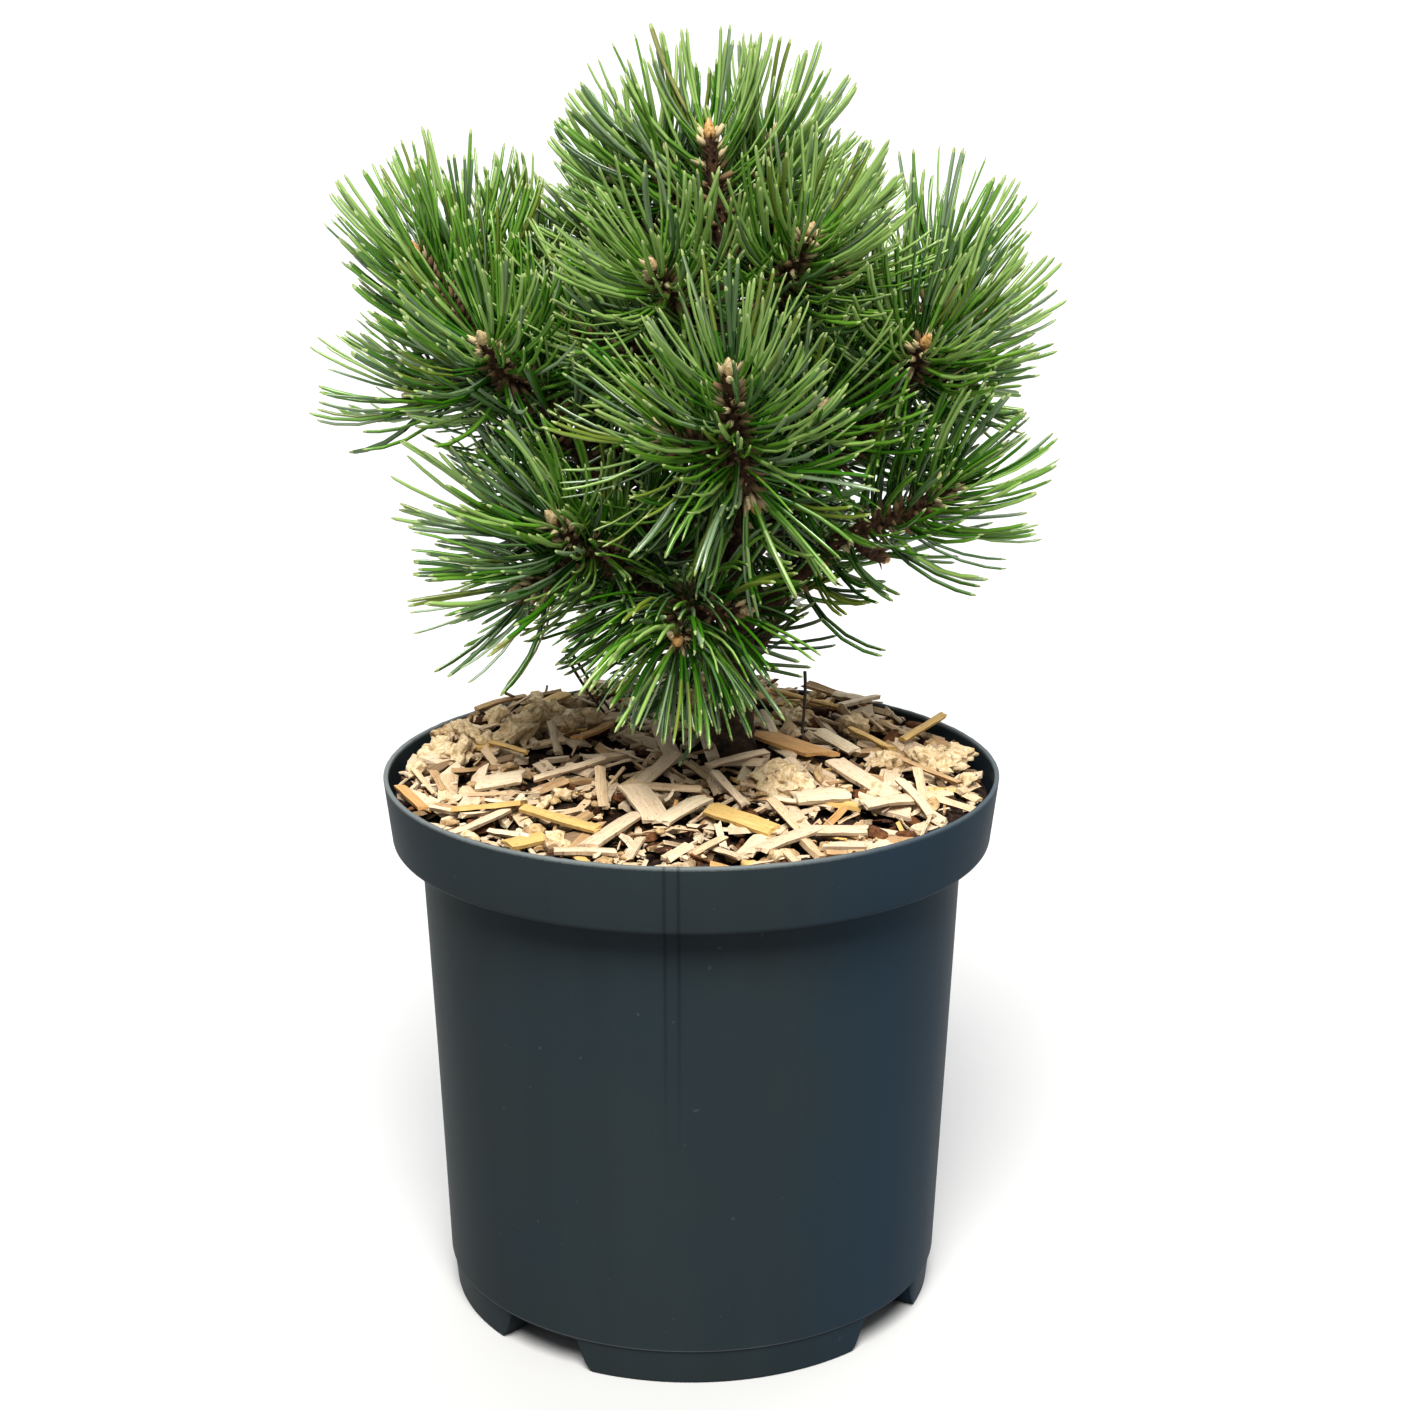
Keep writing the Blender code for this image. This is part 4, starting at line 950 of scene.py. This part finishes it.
def build_chips():
    """Reed chips in tiers, then the chips that are listed one by one."""
    rng = np.random.default_rng(SEED)
    shape = Shape()
    shares = np.array([look[4] for look in REED_LOOKS])
    for count, lengths, widths, lifts, tilt in CHIP_TIERS:
        length = rng.uniform(*lengths, count)
        width = np.minimum(rng.uniform(*widths, count), length * 0.75)
        thickness = np.minimum(rng.uniform(0.0009, 0.0021, count), width * 0.8)
        places, yaw = scatter(rng, length / 2, rng.uniform(*lifts, count))
        pitch = slope_tilt(places, yaw) + rng.normal(0.0, tilt, count)
        roll = rng.normal(0.0, tilt * 1.6, count)
        roll += math.pi * (rng.uniform(0, 1, count) < 0.35)
        curl = rng.uniform(0.1, 1.5, count) * np.where(rng.uniform(0, 1, count) < 0.18, 1.9, 1.0)
        local, grain = strips(rng, length, width, thickness, curl, rng.normal(0, 0.35, count),
                              rng.uniform(0.0001, 0.0005, count))
        looks = rng.choice(len(REED_LOOKS), count, p=shares / shares.sum())
        shape.tubes(inside_pot(lie(local, places, yaw, pitch, roll)), looks, grain=grain)
    rows = np.array(CHOSEN_CHIPS)
    x, y, lift, length, width = rows.T[:5] * MM
    yaw, pitch = np.radians(rows.T[6:8])
    places, many = on_layer(x, y, lift), len(rows)
    local, grain = strips(rng, length, width, np.full(many, CHOSEN_CHIP_THICKNESS), rows[:, 5],
                          rng.normal(0, 0.25, many), np.full(many, 0.0003))
    rings = lie(local, places, yaw, pitch + slope_tilt(places, yaw), rng.normal(0, 0.12, many))
    shape.tubes(inside_pot(rings), rows[:, 8].astype(int), grain=grain)
    materials = [reed(name, light, dark, spots) for name, light, dark, spots, _ in REED_LOOKS]
    shape.piece("reed_chips", materials, ["mulch"], math.radians(35))


def add_lumps(shape, rng, places, sizes, rough, cell, rings=11, sides=14, look_range=None):
    """Lumps: balls flattened by their own sizes, their surface pushed in and out by layered noise."""
    theta = np.linspace(0.08, math.pi - 0.08, rings)[None, :, None]
    phi = even_turn(sides)[None, None, :]
    ball = [np.sin(theta) * np.cos(phi), np.sin(theta) * np.sin(phi), np.cos(theta) + 0 * phi]
    local = np.stack(ball, axis=-1) * sizes[:, None, None, :]
    many = len(places)
    world = lie(local, places, rng.uniform(0, TURN, many), rng.normal(0, 0.3, many), rng.normal(0, 0.3, many))
    middle = places[:, None, None, :]
    push = 1.0 + rough * layered_noise(world, cell, 3, 17)[..., None]
    looks = rng.integers(*look_range, many) if look_range else np.zeros(many, dtype=int)
    shape.tubes(inside_pot(middle + (world - middle) * push)[:, ::-1], looks)


def add_scattered_lumps(shape, rng, sizes, lifts, trunk_gap, *surface):
    lift = rng.uniform(*lifts, len(sizes))
    add_lumps(shape, rng, scatter(rng, sizes.max(axis=1), lift, trunk_gap)[0], sizes, *surface)


def build_pith_and_bark_bits():
    """Crumbly pith, dark bits of bark and small crumbs, lying among the chips."""
    rng = np.random.default_rng(SEED + 1)
    shape = Shape()
    sizes = rng.uniform(0.0014, 0.0050, (60, 1)) * rng.uniform(0.6, 1.1, (60, 3)) * (1.25, 0.95, 0.62)
    add_scattered_lumps(shape, rng, sizes, (-0.0008, 0.0018), 0.004, 0.60, 0.0026, 11, 14, (0, 2))
    x, y, half = np.array(PITH_LUMPS).T * MM
    sizes = half[:, None] * rng.uniform(0.75, 1.1, (len(half), 3)) * (1.2, 0.95, 0.66)
    add_lumps(shape, rng, on_layer(x, y, 0.0022), sizes, 0.62, 0.0030, 17, 22)
    sizes = rng.uniform(0.0020, 0.0062, (150, 1)) * rng.uniform(0.5, 1.1, (150, 3)) * (1.3, 0.8, 0.42)
    add_scattered_lumps(shape, rng, sizes, (-0.0030, 0.0002), 0.001, 0.40, 0.0045, 7, 9, (2, 4))
    sizes = rng.uniform(0.0004, 0.0014, (600, 3)) * (1.6, 1.0, 0.7)
    add_scattered_lumps(shape, rng, sizes, (-0.0032, 0.0008), 0.0, 0.3, 0.001, 4, 5, (0, 4))
    materials = [crumbly("pith", (0.96, 0.77, 0.51), (0.56, 0.38, 0.18)),
                 crumbly("pith_tan", (0.70, 0.50, 0.27), (0.34, 0.20, 0.09)),
                 crumbly("bark_bit", (0.115, 0.050, 0.026), (0.032, 0.014, 0.008)),
                 crumbly("bark_bit_red", (0.230, 0.098, 0.040), (0.070, 0.030, 0.014))]
    shape.piece("pith_and_bark_bits", materials, ["mulch"], math.radians(50))


# Trunk, boughs, twigs and buds


def bark_tube(line, radii, sides, relief, seed, lobes=None):
    """A tube along a line whose radius is raised by a lattice of scales, two sets of waves that wind
    round it in opposite ways, and by noise."""
    _, side, face = frames_along(line)
    turn = even_turn(sides)
    out = ring_ways(side, face, turn)
    along = distances_along(line)[:, None]
    waves = np.cos(5 * turn + along * TURN / 0.0042) + np.cos(8 * turn - along * TURN / 0.0061)
    rough = layered_noise(line[:, None, :] + out * radii[:, None, None], 0.0022, 2, seed)
    swell = 1.0 + relief * (0.45 * np.maximum(waves, -0.4) + 0.9 * rough)
    if lobes is not None:
        swell = swell + lobes(turn, along)
    return line[:, None, :] + out * (radii[:, None] * swell)[..., None]


def flare_lobes(turn, along):
    """The lobes of the root flare, which fade upwards."""
    return FLARE_LOBE_DEPTH * np.cos(FLARE_LOBES * turn + FLARE_LOBE_TURN) * np.exp(-along / FLARE_HEIGHT)


def build_trunk():
    """The trunk tapers and flares at its foot, with lobes that fade upwards, and scaly bark."""
    share = np.linspace(0.0, 1.0, 170)
    height = share * (TRUNK_TOP[2] - TRUNK_FOOT[2])
    radii = TRUNK_FOOT_RADIUS + (TRUNK_TOP_RADIUS - TRUNK_FOOT_RADIUS) * share
    radii = radii + FLARE_RADIUS * np.exp(-height / FLARE_HEIGHT)
    rings = bark_tube(trunk_point(share), radii * 0.97, 72, 0.055, 31, flare_lobes)
    rings[0, :, 2] = TRUNK_FOOT[2]
    look = bark("old_bark", (0.028, 0.017, 0.012), (0.110, 0.068, 0.045), (0.30, 0.22, 0.15), 0.30)
    closed_piece("trunk_bark", rings, look, "trunk")


def nodes_of(names, kind):
    return [f"{name}_{kind}" for name in names]


def build_boughs():
    """Each bough tapers from the trunk to where its mass of needles begins."""
    shape = Shape()
    for number, name in enumerate(BOUGHS):
        limb = limb_line(name)
        line = stretch_of(limb, 0.0, bough_length(limb) + 0.0015, 44)
        share = (BOUGHS[name][0] - LOWEST_START) / (HIGHEST_START - LOWEST_START)
        foot = BOUGH_FOOT_RADIUS + (TOP_BOUGH_FOOT_RADIUS - BOUGH_FOOT_RADIUS) * share
        radii = np.linspace(foot, BOUGH_TIP_RADIUS, len(line))
        shape.tubes(bark_tube(line, radii, 30, 0.085, 40 + number)[None], 0)
    look = bark("bough_bark", (0.030, 0.016, 0.010), (0.145, 0.080, 0.047), (0.36, 0.27, 0.18), 0.32)
    shape.piece("bough_bark", [look], nodes_of(BOUGHS, "bough"))


def add_twig_scales(shape, line, rng):
    """Short pointed scales that lie along a twig, each a bent blade with a ridge, its tip lifted."""
    length = distances_along(line)[-1]
    count = int(length / SCALE_SPACING)
    share = (np.arange(count) + 0.5) / count
    turn = (np.arange(count) * GOLDEN_TURN + rng.normal(0, 0.25, count))[:, None]
    middle, way, side, face = frames_at(line, share * length)
    out = side * np.cos(turn) + face * np.sin(turn)
    foot = middle + out * (twig_radius(share) * 0.96)[:, None]
    reach = rng.uniform(0.0014, 0.0030, count)
    lift = rng.uniform(0.15, 0.85, count)
    half = rng.uniform(0.00040, 0.00085, count)
    rise, run = out * (reach * lift)[:, None], way * reach[:, None]
    parts = (foot, rise, run, np.cross(way, out), out)
    foot, rise, run, across, out = (part[:, None, None, :] for part in parts)
    t = np.array((0.0, 0.45, 1.0))[None, :, None, None]
    section = np.array(((-1.0, 0.0), (0.0, 0.55), (1.0, 0.0)))
    size = half[:, None, None, None] * (1.0 - 0.85 * t ** 1.5)
    rings = foot + run * t + rise * t * t + (across * section[:, :1] + out * section[:, 1:]) * size
    tip_looks = np.where(rng.uniform(0, 1, count) < 0.26, 2, 1)
    looks = np.stack([np.full(count, 1), tip_looks], axis=1)[:, :, None]
    shape.tubes(rings[:, :, ::-1], looks, (1, tip_looks))


def build_twigs(masses):
    """Scaly twigs, each thinner towards its bud."""
    rng = np.random.default_rng(SEED + 4)
    shape = Shape()
    for number, line in enumerate(line for lines in masses.values() for line in lines):
        length = distances_along(line)[-1]
        rings = max(20, round(length / TWIG_RING_SPACING))
        path = stretch_of(line, 0.0, length, rings)
        radii = twig_radius(np.linspace(0.0, 1.0, rings))
        shape.tubes(bark_tube(path, radii, 16, 0.17, 80 + number)[None], 0)
        add_twig_scales(shape, line, rng)
    looks = [bark("twig_bark", (0.030, 0.016, 0.010), (0.130, 0.068, 0.036), (0.46, 0.36, 0.24), 0.34),
             plain_finish("brown_scale", (0.100, 0.050, 0.030), 0.75, 0.25),
             plain_finish("pale_scale", (0.42, 0.31, 0.19), 0.75, 0.25)]
    shape.piece("scaly_twigs", looks, nodes_of(masses, "needles"))


def bud_rings(foot, way, length, radius, seed, rings=11, sides=14):
    """A bud: an egg shape, widest a third of the way up, with scales that wind round it."""
    side = unit(np.cross(way, BUD_AXIS))
    t, turn = np.linspace(0.0, 1.0, rings)[:, None], even_turn(sides)
    width = np.sin(math.pi * t ** 0.66) ** 0.80 + 0.03
    scales = 1.0 + 0.12 * np.maximum(0.0, np.cos(5 * turn + t * 15.0) + np.cos(8 * turn - t * 15.0))
    out = ring_ways(side, np.cross(side, way), turn)
    grid = foot + way * (t * length)[..., None] + out * (radius * width * scales)[..., None]
    return grid + cell_noise(grid, 0.0012, seed)[..., None] * 0.00012


def build_buds(masses):
    """A bud at each twig's tip, with one to three smaller ones round it."""
    rng = np.random.default_rng(SEED + 2)
    shape = Shape()
    rings, looks = [], []
    for number, line in enumerate(line for lines in masses.values() for line in lines):
        way = unit(line[-1] - line[-3])
        foot = line[-1] - way * 0.0012
        rings.append(bud_rings(foot, way, BUD_LENGTH * rng.uniform(0.85, 1.08), BUD_RADIUS, number))
        looks.append(number % 3 > 0)
        first = rng.uniform(0, TURN)
        side = unit(np.cross(way, BUD_AXIS))
        for out in ring_ways(side, np.cross(side, way), first + even_turn(3)[:rng.integers(1, 4)]):
            length = SIDE_BUD_LENGTH * rng.uniform(0.7, 1.1)
            beside, lean = foot + out * 0.0013 - way * 0.0012, unit(way + out * 0.55)
            rings.append(bud_rings(beside, lean, length, SIDE_BUD_RADIUS, number + 7))
            looks.append(1)
    shape.tubes(np.array(rings), np.array(looks, dtype=int))
    materials = [bud_scales("tan_bud", (0.46, 0.20, 0.060), (0.82, 0.50, 0.20), 0.30),
                 bud_scales("cream_bud", (0.46, 0.29, 0.13), (0.80, 0.63, 0.37), 0.60)]
    shape.piece("winter_buds", materials, nodes_of(masses, "needles"))


# Needles


def needle_pairs(line, rng, bare, least, shortness, spacing=PAIR_SPACING, tip_angle=NEEDLE_TIP_ANGLE):
    """Where the pairs of needles leave a twig, which way they go and how they curve.

    A pair leaves every step of the twig by the golden turn, few near its foot. Its chord makes an
    angle with the twig that falls from the foot angle to the tip angle with the share of the twig's
    length, eased. It leaves wider than its chord by half its bend and arrives closer by the other
    half.
    """
    length = distances_along(line)[-1]
    count = int((length - PLAIN_FOOT) / spacing)
    share = np.clip((np.arange(count) + rng.uniform(-0.4, 0.4, count)) / count, 0.0, 0.995)
    kept = rng.uniform(0, 1, count) < np.clip((share - bare) * 4.5, least, 1.0)
    turn = np.arange(count) * GOLDEN_TURN + rng.normal(0, 0.16, count)
    share, turn = share[kept], turn[kept][:, None]
    middle, way, side, face = frames_at(line, PLAIN_FOOT + share * (length - PLAIN_FOOT))
    out = side * np.cos(turn) + face * np.sin(turn)
    many = len(share)
    chord = NEEDLE_FOOT_ANGLE + (tip_angle - NEEDLE_FOOT_ANGLE) * share ** NEEDLE_ANGLE_EASE
    chord = np.clip(chord + rng.normal(0, CHORD_SPREAD, many), math.radians(3), math.radians(92))
    bend = math.radians(rng.uniform(LEAST_BEND, MOST_BEND)) + rng.normal(0, BEND_SPREAD, many)
    full = NEEDLE_LENGTH * shortness * rng.normal(1.0, 0.055, many) * (1 - 0.12 * share ** 3)
    return {"root": middle + out * (twig_radius(share) * 0.75)[:, None], "way": way, "out": out,
            "chord": chord, "bend": bend * (0.45 + 0.55 * np.sin(chord)), "full": full, "share": share,
            "sway": rng.normal(0, 0.14, many)}


def chosen(pairs, kept):
    return {key: values[kept] for key, values in pairs.items()}


def needle_paths(pairs, lift):
    """The middle lines of the pairs: the way turns evenly from leaving to arriving, sways to one side
    and rises towards its end by the lift, and the points add up its steps."""
    t = np.linspace(0.0, 1.0, PATH_POINTS)[None, :]
    angle = (pairs["chord"][:, None] + pairs["bend"][:, None] * (0.5 - t))[..., None]
    way, out = pairs["way"][:, None, :], pairs["out"][:, None, :]
    sway = (pairs["sway"][:, None] * t)[..., None]
    direction = way * np.cos(angle) + out * np.sin(angle) + np.cross(way, out) * sway
    level = 1.0 - np.abs(direction[..., 2])
    direction = unit(direction + UP * (lift * t * (0.20 + level))[..., None])
    steps = direction * (pairs["full"] / (PATH_POINTS - 1))[:, None, None]
    reached = np.concatenate([np.zeros((len(steps), 1, 3)), np.cumsum(steps[:, :-1], axis=1)], axis=1)
    return pairs["root"][:, None, :] + reached, direction


def add_needles(shape, pairs, points, direction, rng, greens):
    """Two half-round needles for each pair. They part from each other along one direction square to
    the pair's way, by an angle that opens them towards their tips, flat sides facing."""
    rows = np.round(NEEDLE_STEPS * (PATH_POINTS - 1)).astype(int)
    path, way = points[:, rows], direction[:, rows]
    many = len(path)
    first = unit(np.cross(way[:, 0], rng.normal(0, 1, (many, 3))))[:, None, :]
    apart = unit(first - way * (first * way).sum(-1, keepdims=True))
    broad = np.cross(way, apart)[:, :, None, :]
    opening = np.abs(rng.normal(0.060, 0.030, many))
    width = NEEDLE_WIDTH * rng.uniform(0.86, 1.10, many)
    size = (width[:, None] / 2 * NEEDLE_WIDTHS)[..., None, None]
    flat = np.array(((-1.0, 0.0), (1.0, 0.0)))
    arc = np.array([(math.cos(angle), math.sin(angle) * 1.10) for angle in np.radians((52, 128))])
    outline = np.concatenate([flat, arc])
    for sign in (-1, 1):
        spread = sign * (0.00012 + (opening * pairs["full"])[:, None] * NEEDLE_STEPS ** 1.25)
        middle = (path + apart * spread[..., None])[:, :, None, :]
        rings = middle + (broad * outline[:, :1] + sign * apart[:, :, None, :] * outline[:, 1:]) * size
        looks = np.repeat(greens[:, None], len(rows) - 1, axis=1)
        # The inner third of each needle is dealt a deeper look: painted shade
        looks[:, :2] = SHADED_INNER_LOOKS[greens][:, None]
        looks[:, -1] = TIP
        looks = np.repeat(looks[:, :, None], len(outline), axis=2)
        looks[rng.uniform(0, 1, many) < 0.22, :-1, 0] = GREY
        if sign > 0:
            rings, looks = rings[:, :, ::-1], np.roll(looks[:, :, ::-1], -1, axis=2)
        shape.tubes(rings, looks, (greens, TIP))


def add_sheaths(shape, points, direction, share, rng):
    """The papery sheath round the foot of each pair, cream near the bud."""
    path, way = points[:, SHEATH_POINTS], direction[:, SHEATH_POINTS]
    side = unit(np.cross(way, (0.2, 0.3, 0.93)))
    radius = SHEATH_RADII * rng.uniform(0.85, 1.15, (len(path), 1))
    looks = np.where(share + rng.normal(0, 0.12, len(share)) > 0.86, CREAM_SHEATH, SHEATH)
    out = ring_ways(side, np.cross(side, way), even_turn(5))
    shape.tubes(path[:, :, None, :] + out * radius[..., None, None], looks)


def by_name(table, name):
    """A table's row for a mass, or else the one for its level of the crown."""
    return table.get(name, table.get(name.split("_")[0]))


def clear_of_wood(points, line, masses, limbs):
    """The pairs whose ends keep off the trunk, the boughs, other twigs and the chips."""
    flat = points[:, PROBES].reshape(-1, 3)
    others = [other for lines in masses.values() for other in lines if other is not line]
    ends = (slice(0, -3, 3), slice(3, None, 3))
    twigs = [np.concatenate([other[part] for other in others]) for part in ends]
    bad = flat[:, 2] < SOIL_TOP + LAYER_DEPTH + 0.002
    for stretches, room in ((limbs["trunk"], TRUNK_FOOT_RADIUS + 0.001),
                            (limbs["boughs"], BOUGH_FOOT_RADIUS + 0.0012),
                            (twigs, BOUGH_TIP_RADIUS + 0.0006)):
        bad |= distance_to(flat, *stretches) < room
    return ~bad.reshape(len(points), -1).any(axis=1)


def spray_greens(rng, share, height, base):
    """Each twig has its own leaning between deep and bright, and each pair strays from it. Needles
    near the foot of a twig are deeper, partly as older needles are and partly as painted shade; those
    low in the crown are deeper and those high in it brighter, painted shade and light from above.
    More of the low ones are greyish."""
    # The share along the twig and the height paint shade on the inner and low needles and light on the high
    # ones
    light = base + rng.normal(0, 0.17, len(share)) + 0.40 * (share - 0.5) + 1.9 * (height - 0.310)
    level = np.clip(np.round(light * GREENS), 0, GREENS - 1).astype(int)
    other = rng.uniform(0, 1, len(share))
    sage = np.clip(0.12 + 1.2 * (0.36 - height), 0.08, 0.26)
    level = np.where(other < sage, SAGE, level)
    for low, high, look in ((0.90, 0.93, GREY), (0.93, 0.97, OLIVE), (0.985, 0.99, STRAW)):
        level = np.where((other >= low) & (other < high), look, level)
    return level


def needle_sets(name, masses, rng):
    """The sets of pairs in a mass, each with its line, its leaning between deep and bright, and how
    steeply it may hang: those of its twigs, the old ones on its bough, and those that hang."""
    spacing = LEADER_PAIR_SPACING if name == "leader" else PAIR_SPACING
    hang_limit = by_name(HANG_LIMITS, name)
    for number, line in enumerate(masses[name]):
        shortness = SHORT_NEEDLES.get((name, number), 1.0)
        pairs = needle_pairs(line, rng, *by_name(BARE_SHARES, name), shortness, spacing)
        open_from = OPEN_TWIGS.get((name, number), 1.0)
        pairs = chosen(pairs, (pairs["share"] < open_from) | (pairs["out"][:, 1] > -0.40))
        yield line, pairs, rng.uniform(0.32, 0.64), hang_limit
    old = (rng, 0.0, 1.0)
    if name in BOUGHS:
        limb = limb_line(name)
        line = stretch_of(limb, bough_length(limb) * OLD_NEEDLES_FROM, bough_length(limb), LINE_POINTS)
        pairs = needle_pairs(line, *old, OLD_NEEDLE_SHARE, OLD_PAIR_SPACING, OLD_NEEDLE_ANGLE)
        yield line, pairs, 0.20, OLD_HANG_LIMITS.get(name, hang_limit)
    for (mass, number), stretch in HANGING_STRETCHES.items():
        if mass == name:
            whole = masses[name][number]
            line = stretch_of(whole, *np.array(stretch) * distances_along(whole)[-1], LINE_POINTS)
            pairs = needle_pairs(line, *old, HANGING_SHARE, OLD_PAIR_SPACING, OLD_NEEDLE_ANGLE)
            yield line, chosen(pairs, pairs["out"][:, 2] < -0.40), 0.30, -1.0


def build_needles(masses):
    """The needles of every mass, joined into a few pieces, with their greens dealt out by spray."""
    rng = np.random.default_rng(SEED + 3)
    trunk_line = trunk_point(np.linspace(0.0, 1.0, 14))
    limbs = [limb_line(name) for name in BOUGHS]
    limbs = [stretch_of(limb, 0.0, bough_length(limb), 5) for limb in limbs]
    limbs = {"trunk": (trunk_line[:-1], trunk_line[1:]),
             "boughs": (np.concatenate([line[:-1] for line in limbs]),
                        np.concatenate([line[1:] for line in limbs]))}
    materials = [plain_finish(name, colour, 0.24, 0.60) for name, colour in NEEDLE_COLOURS]
    materials += [plain_finish(name, colour, roughness, 0.3) for name, colour, roughness in NEEDLE_TRIM]
    for group, names in SPRAY_GROUPS.items():
        shape = Shape()
        for name in names:
            for line, pairs, base, hang_limit in list(needle_sets(name, masses, rng)):
                points, direction = needle_paths(pairs, by_name(NEEDLE_LIFTS, name))
                fits = clear_of_wood(points, line, masses, limbs) & (direction[:, -1, 2] > hang_limit)
                if name == "low_front":
                    fits &= direction[:, -1, 0] < SIDE_LIMIT
                pairs, points, direction = chosen(pairs, fits), points[fits], direction[fits]
                greens = spray_greens(rng, pairs["share"], pairs["root"][:, 2], base)
                add_needles(shape, pairs, points, direction, rng, greens)
                add_sheaths(shape, points, direction, pairs["share"], rng)
        shape.piece("needle_sprays_" + group, materials, nodes_of(names, "needles"))


# A dead pair of needles that hangs on the chips, and one thin dry stalk that stands in them: where
# each starts, the handle of its curve and its end
DRY_STALKS = [
    ((-0.0490, 0.045, 0.2370), (-0.0442, 0.049, 0.2244), (-0.0330, 0.053, 0.2090)),
    ((-0.0472, 0.046, 0.2380), (-0.0412, 0.050, 0.2262), (-0.0300, 0.053, 0.2088)),
    ((0.043, 0.020, 0.2370), (0.044, 0.021, 0.226), (0.041, 0.018, 0.2040)),
]


def build_dry_stalks():
    """Each stalk is a thin tube along a hooked curve."""
    shape = Shape()
    t = np.linspace(0.0, 1.0, 14)[:, None]
    radii = np.linspace(0.00068, 0.00052, len(t))[:, None, None]
    for start, handle, end in np.array(DRY_STALKS):
        line = hooked_curve(start, handle, end, t)
        _, side, face = frames_along(line)
        shape.tubes((line[:, None, :] + ring_ways(side, face, even_turn(6)) * radii)[None], 0)
    shape.piece("dry_stalks", [plain_finish("dry_stalk", (0.055, 0.034, 0.026), 0.6)])


# Stage

SKY_RISE = (0.06, 0.30)        # the height over the horizon, as a sine, where the sky's colour changes
HORIZON_COLOUR = (0.96, 0.96, 0.95, 1.0)
SKY_COLOUR = (0.45, 0.47, 0.485, 1.0)
FRAME_WIDTH = 36.0             # of the film, in millimetres
FOCAL_SHARE = 2516.7 / 1410.0  # of the frame's width, both read in the photograph's pixels
CAMERA_PLACE = (0.00508, -0.90289, 0.48703)
CAMERA_TILT = 0.2779           # below level, in radians


def high_lamp(name, elevation, azimuth, width, strength, colour):
    """A far lamp at an elevation and an azimuth, as wide in the sky as its angle says."""
    light = bpy.data.lights.new(name, "SUN")
    light.angle, light.energy, light.color = math.radians(width), strength, colour
    obj = bpy.data.objects.new(name, light)
    obj.rotation_euler = (math.radians(90.0 - elevation), 0.0, math.radians(azimuth + 90.0))
    bpy.context.scene.collection.objects.link(obj)


def build_stage():
    """A wide pale floor under a sky that is as pale as the floor at the horizon, a high soft lamp in
    front and a weak wide one behind, both so far that they light all of the floor alike."""
    bpy.ops.mesh.primitive_circle_add(vertices=64, radius=300.0, fill_type="NGON")
    floor = bpy.context.object
    floor.name = "pale_floor"
    floor.data.materials.append(plain_finish("pale_floor", (0.62, 0.62, 0.62), 0.9, 0.1))
    floor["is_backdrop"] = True
    world = bpy.data.worlds.new("pale_sky")
    world.use_nodes = True
    nodes, links = world.node_tree.nodes, world.node_tree.links
    place, parts = nodes.new("ShaderNodeTexCoord"), nodes.new("ShaderNodeSeparateXYZ")
    rise, tint = nodes.new("ShaderNodeMapRange"), nodes.new("ShaderNodeMix")
    tint.data_type = "RGBA"
    rise.inputs["From Min"].default_value, rise.inputs["From Max"].default_value = SKY_RISE
    tint.inputs[6].default_value, tint.inputs[7].default_value = HORIZON_COLOUR, SKY_COLOUR
    links.new(place.outputs["Generated"], parts.inputs[0])
    links.new(parts.outputs["Z"], rise.inputs["Value"])
    links.new(rise.outputs[0], tint.inputs[0])
    links.new(tint.outputs[2], nodes["Background"].inputs["Color"])
    bpy.context.scene.world = world
    high_lamp("high_lamp", 57.0, -92.0, 30.0, 6.2, (1.0, 0.985, 0.955))
    high_lamp("back_lamp", 50.0, 75.0, 60.0, 1.3, (0.97, 0.985, 1.0))
    bpy.context.scene.view_settings.view_transform = "Standard"
    bpy.context.scene.view_settings.look = "Medium High Contrast"


def build_camera():
    """The photograph's view: its place and tilt, and a lens for a square frame."""
    camera = bpy.data.cameras.new("front_view")
    camera.sensor_width = FRAME_WIDTH
    camera.lens = FRAME_WIDTH * FOCAL_SHARE
    camera.clip_start = 0.01
    obj = bpy.data.objects.new("front_view", camera)
    obj.location = CAMERA_PLACE
    obj.rotation_euler = (math.pi / 2 - CAMERA_TILT, 0.0, 0.0)
    bpy.context.scene.collection.objects.link(obj)
    bpy.context.scene.camera = obj


build_camera()
build_pot()
build_growing_mix()
build_chips()
build_pith_and_bark_bits()
build_trunk()
build_boughs()
twig_masses = {name: mass_lines(name) for name in [*BOUGHS, "leader"]}
build_twigs(twig_masses)
build_buds(twig_masses)
build_needles(twig_masses)
build_dry_stalks()
build_stage()

plain = [[[float(x) for x in corner] for corner in box] for box in (cad_box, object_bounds())]
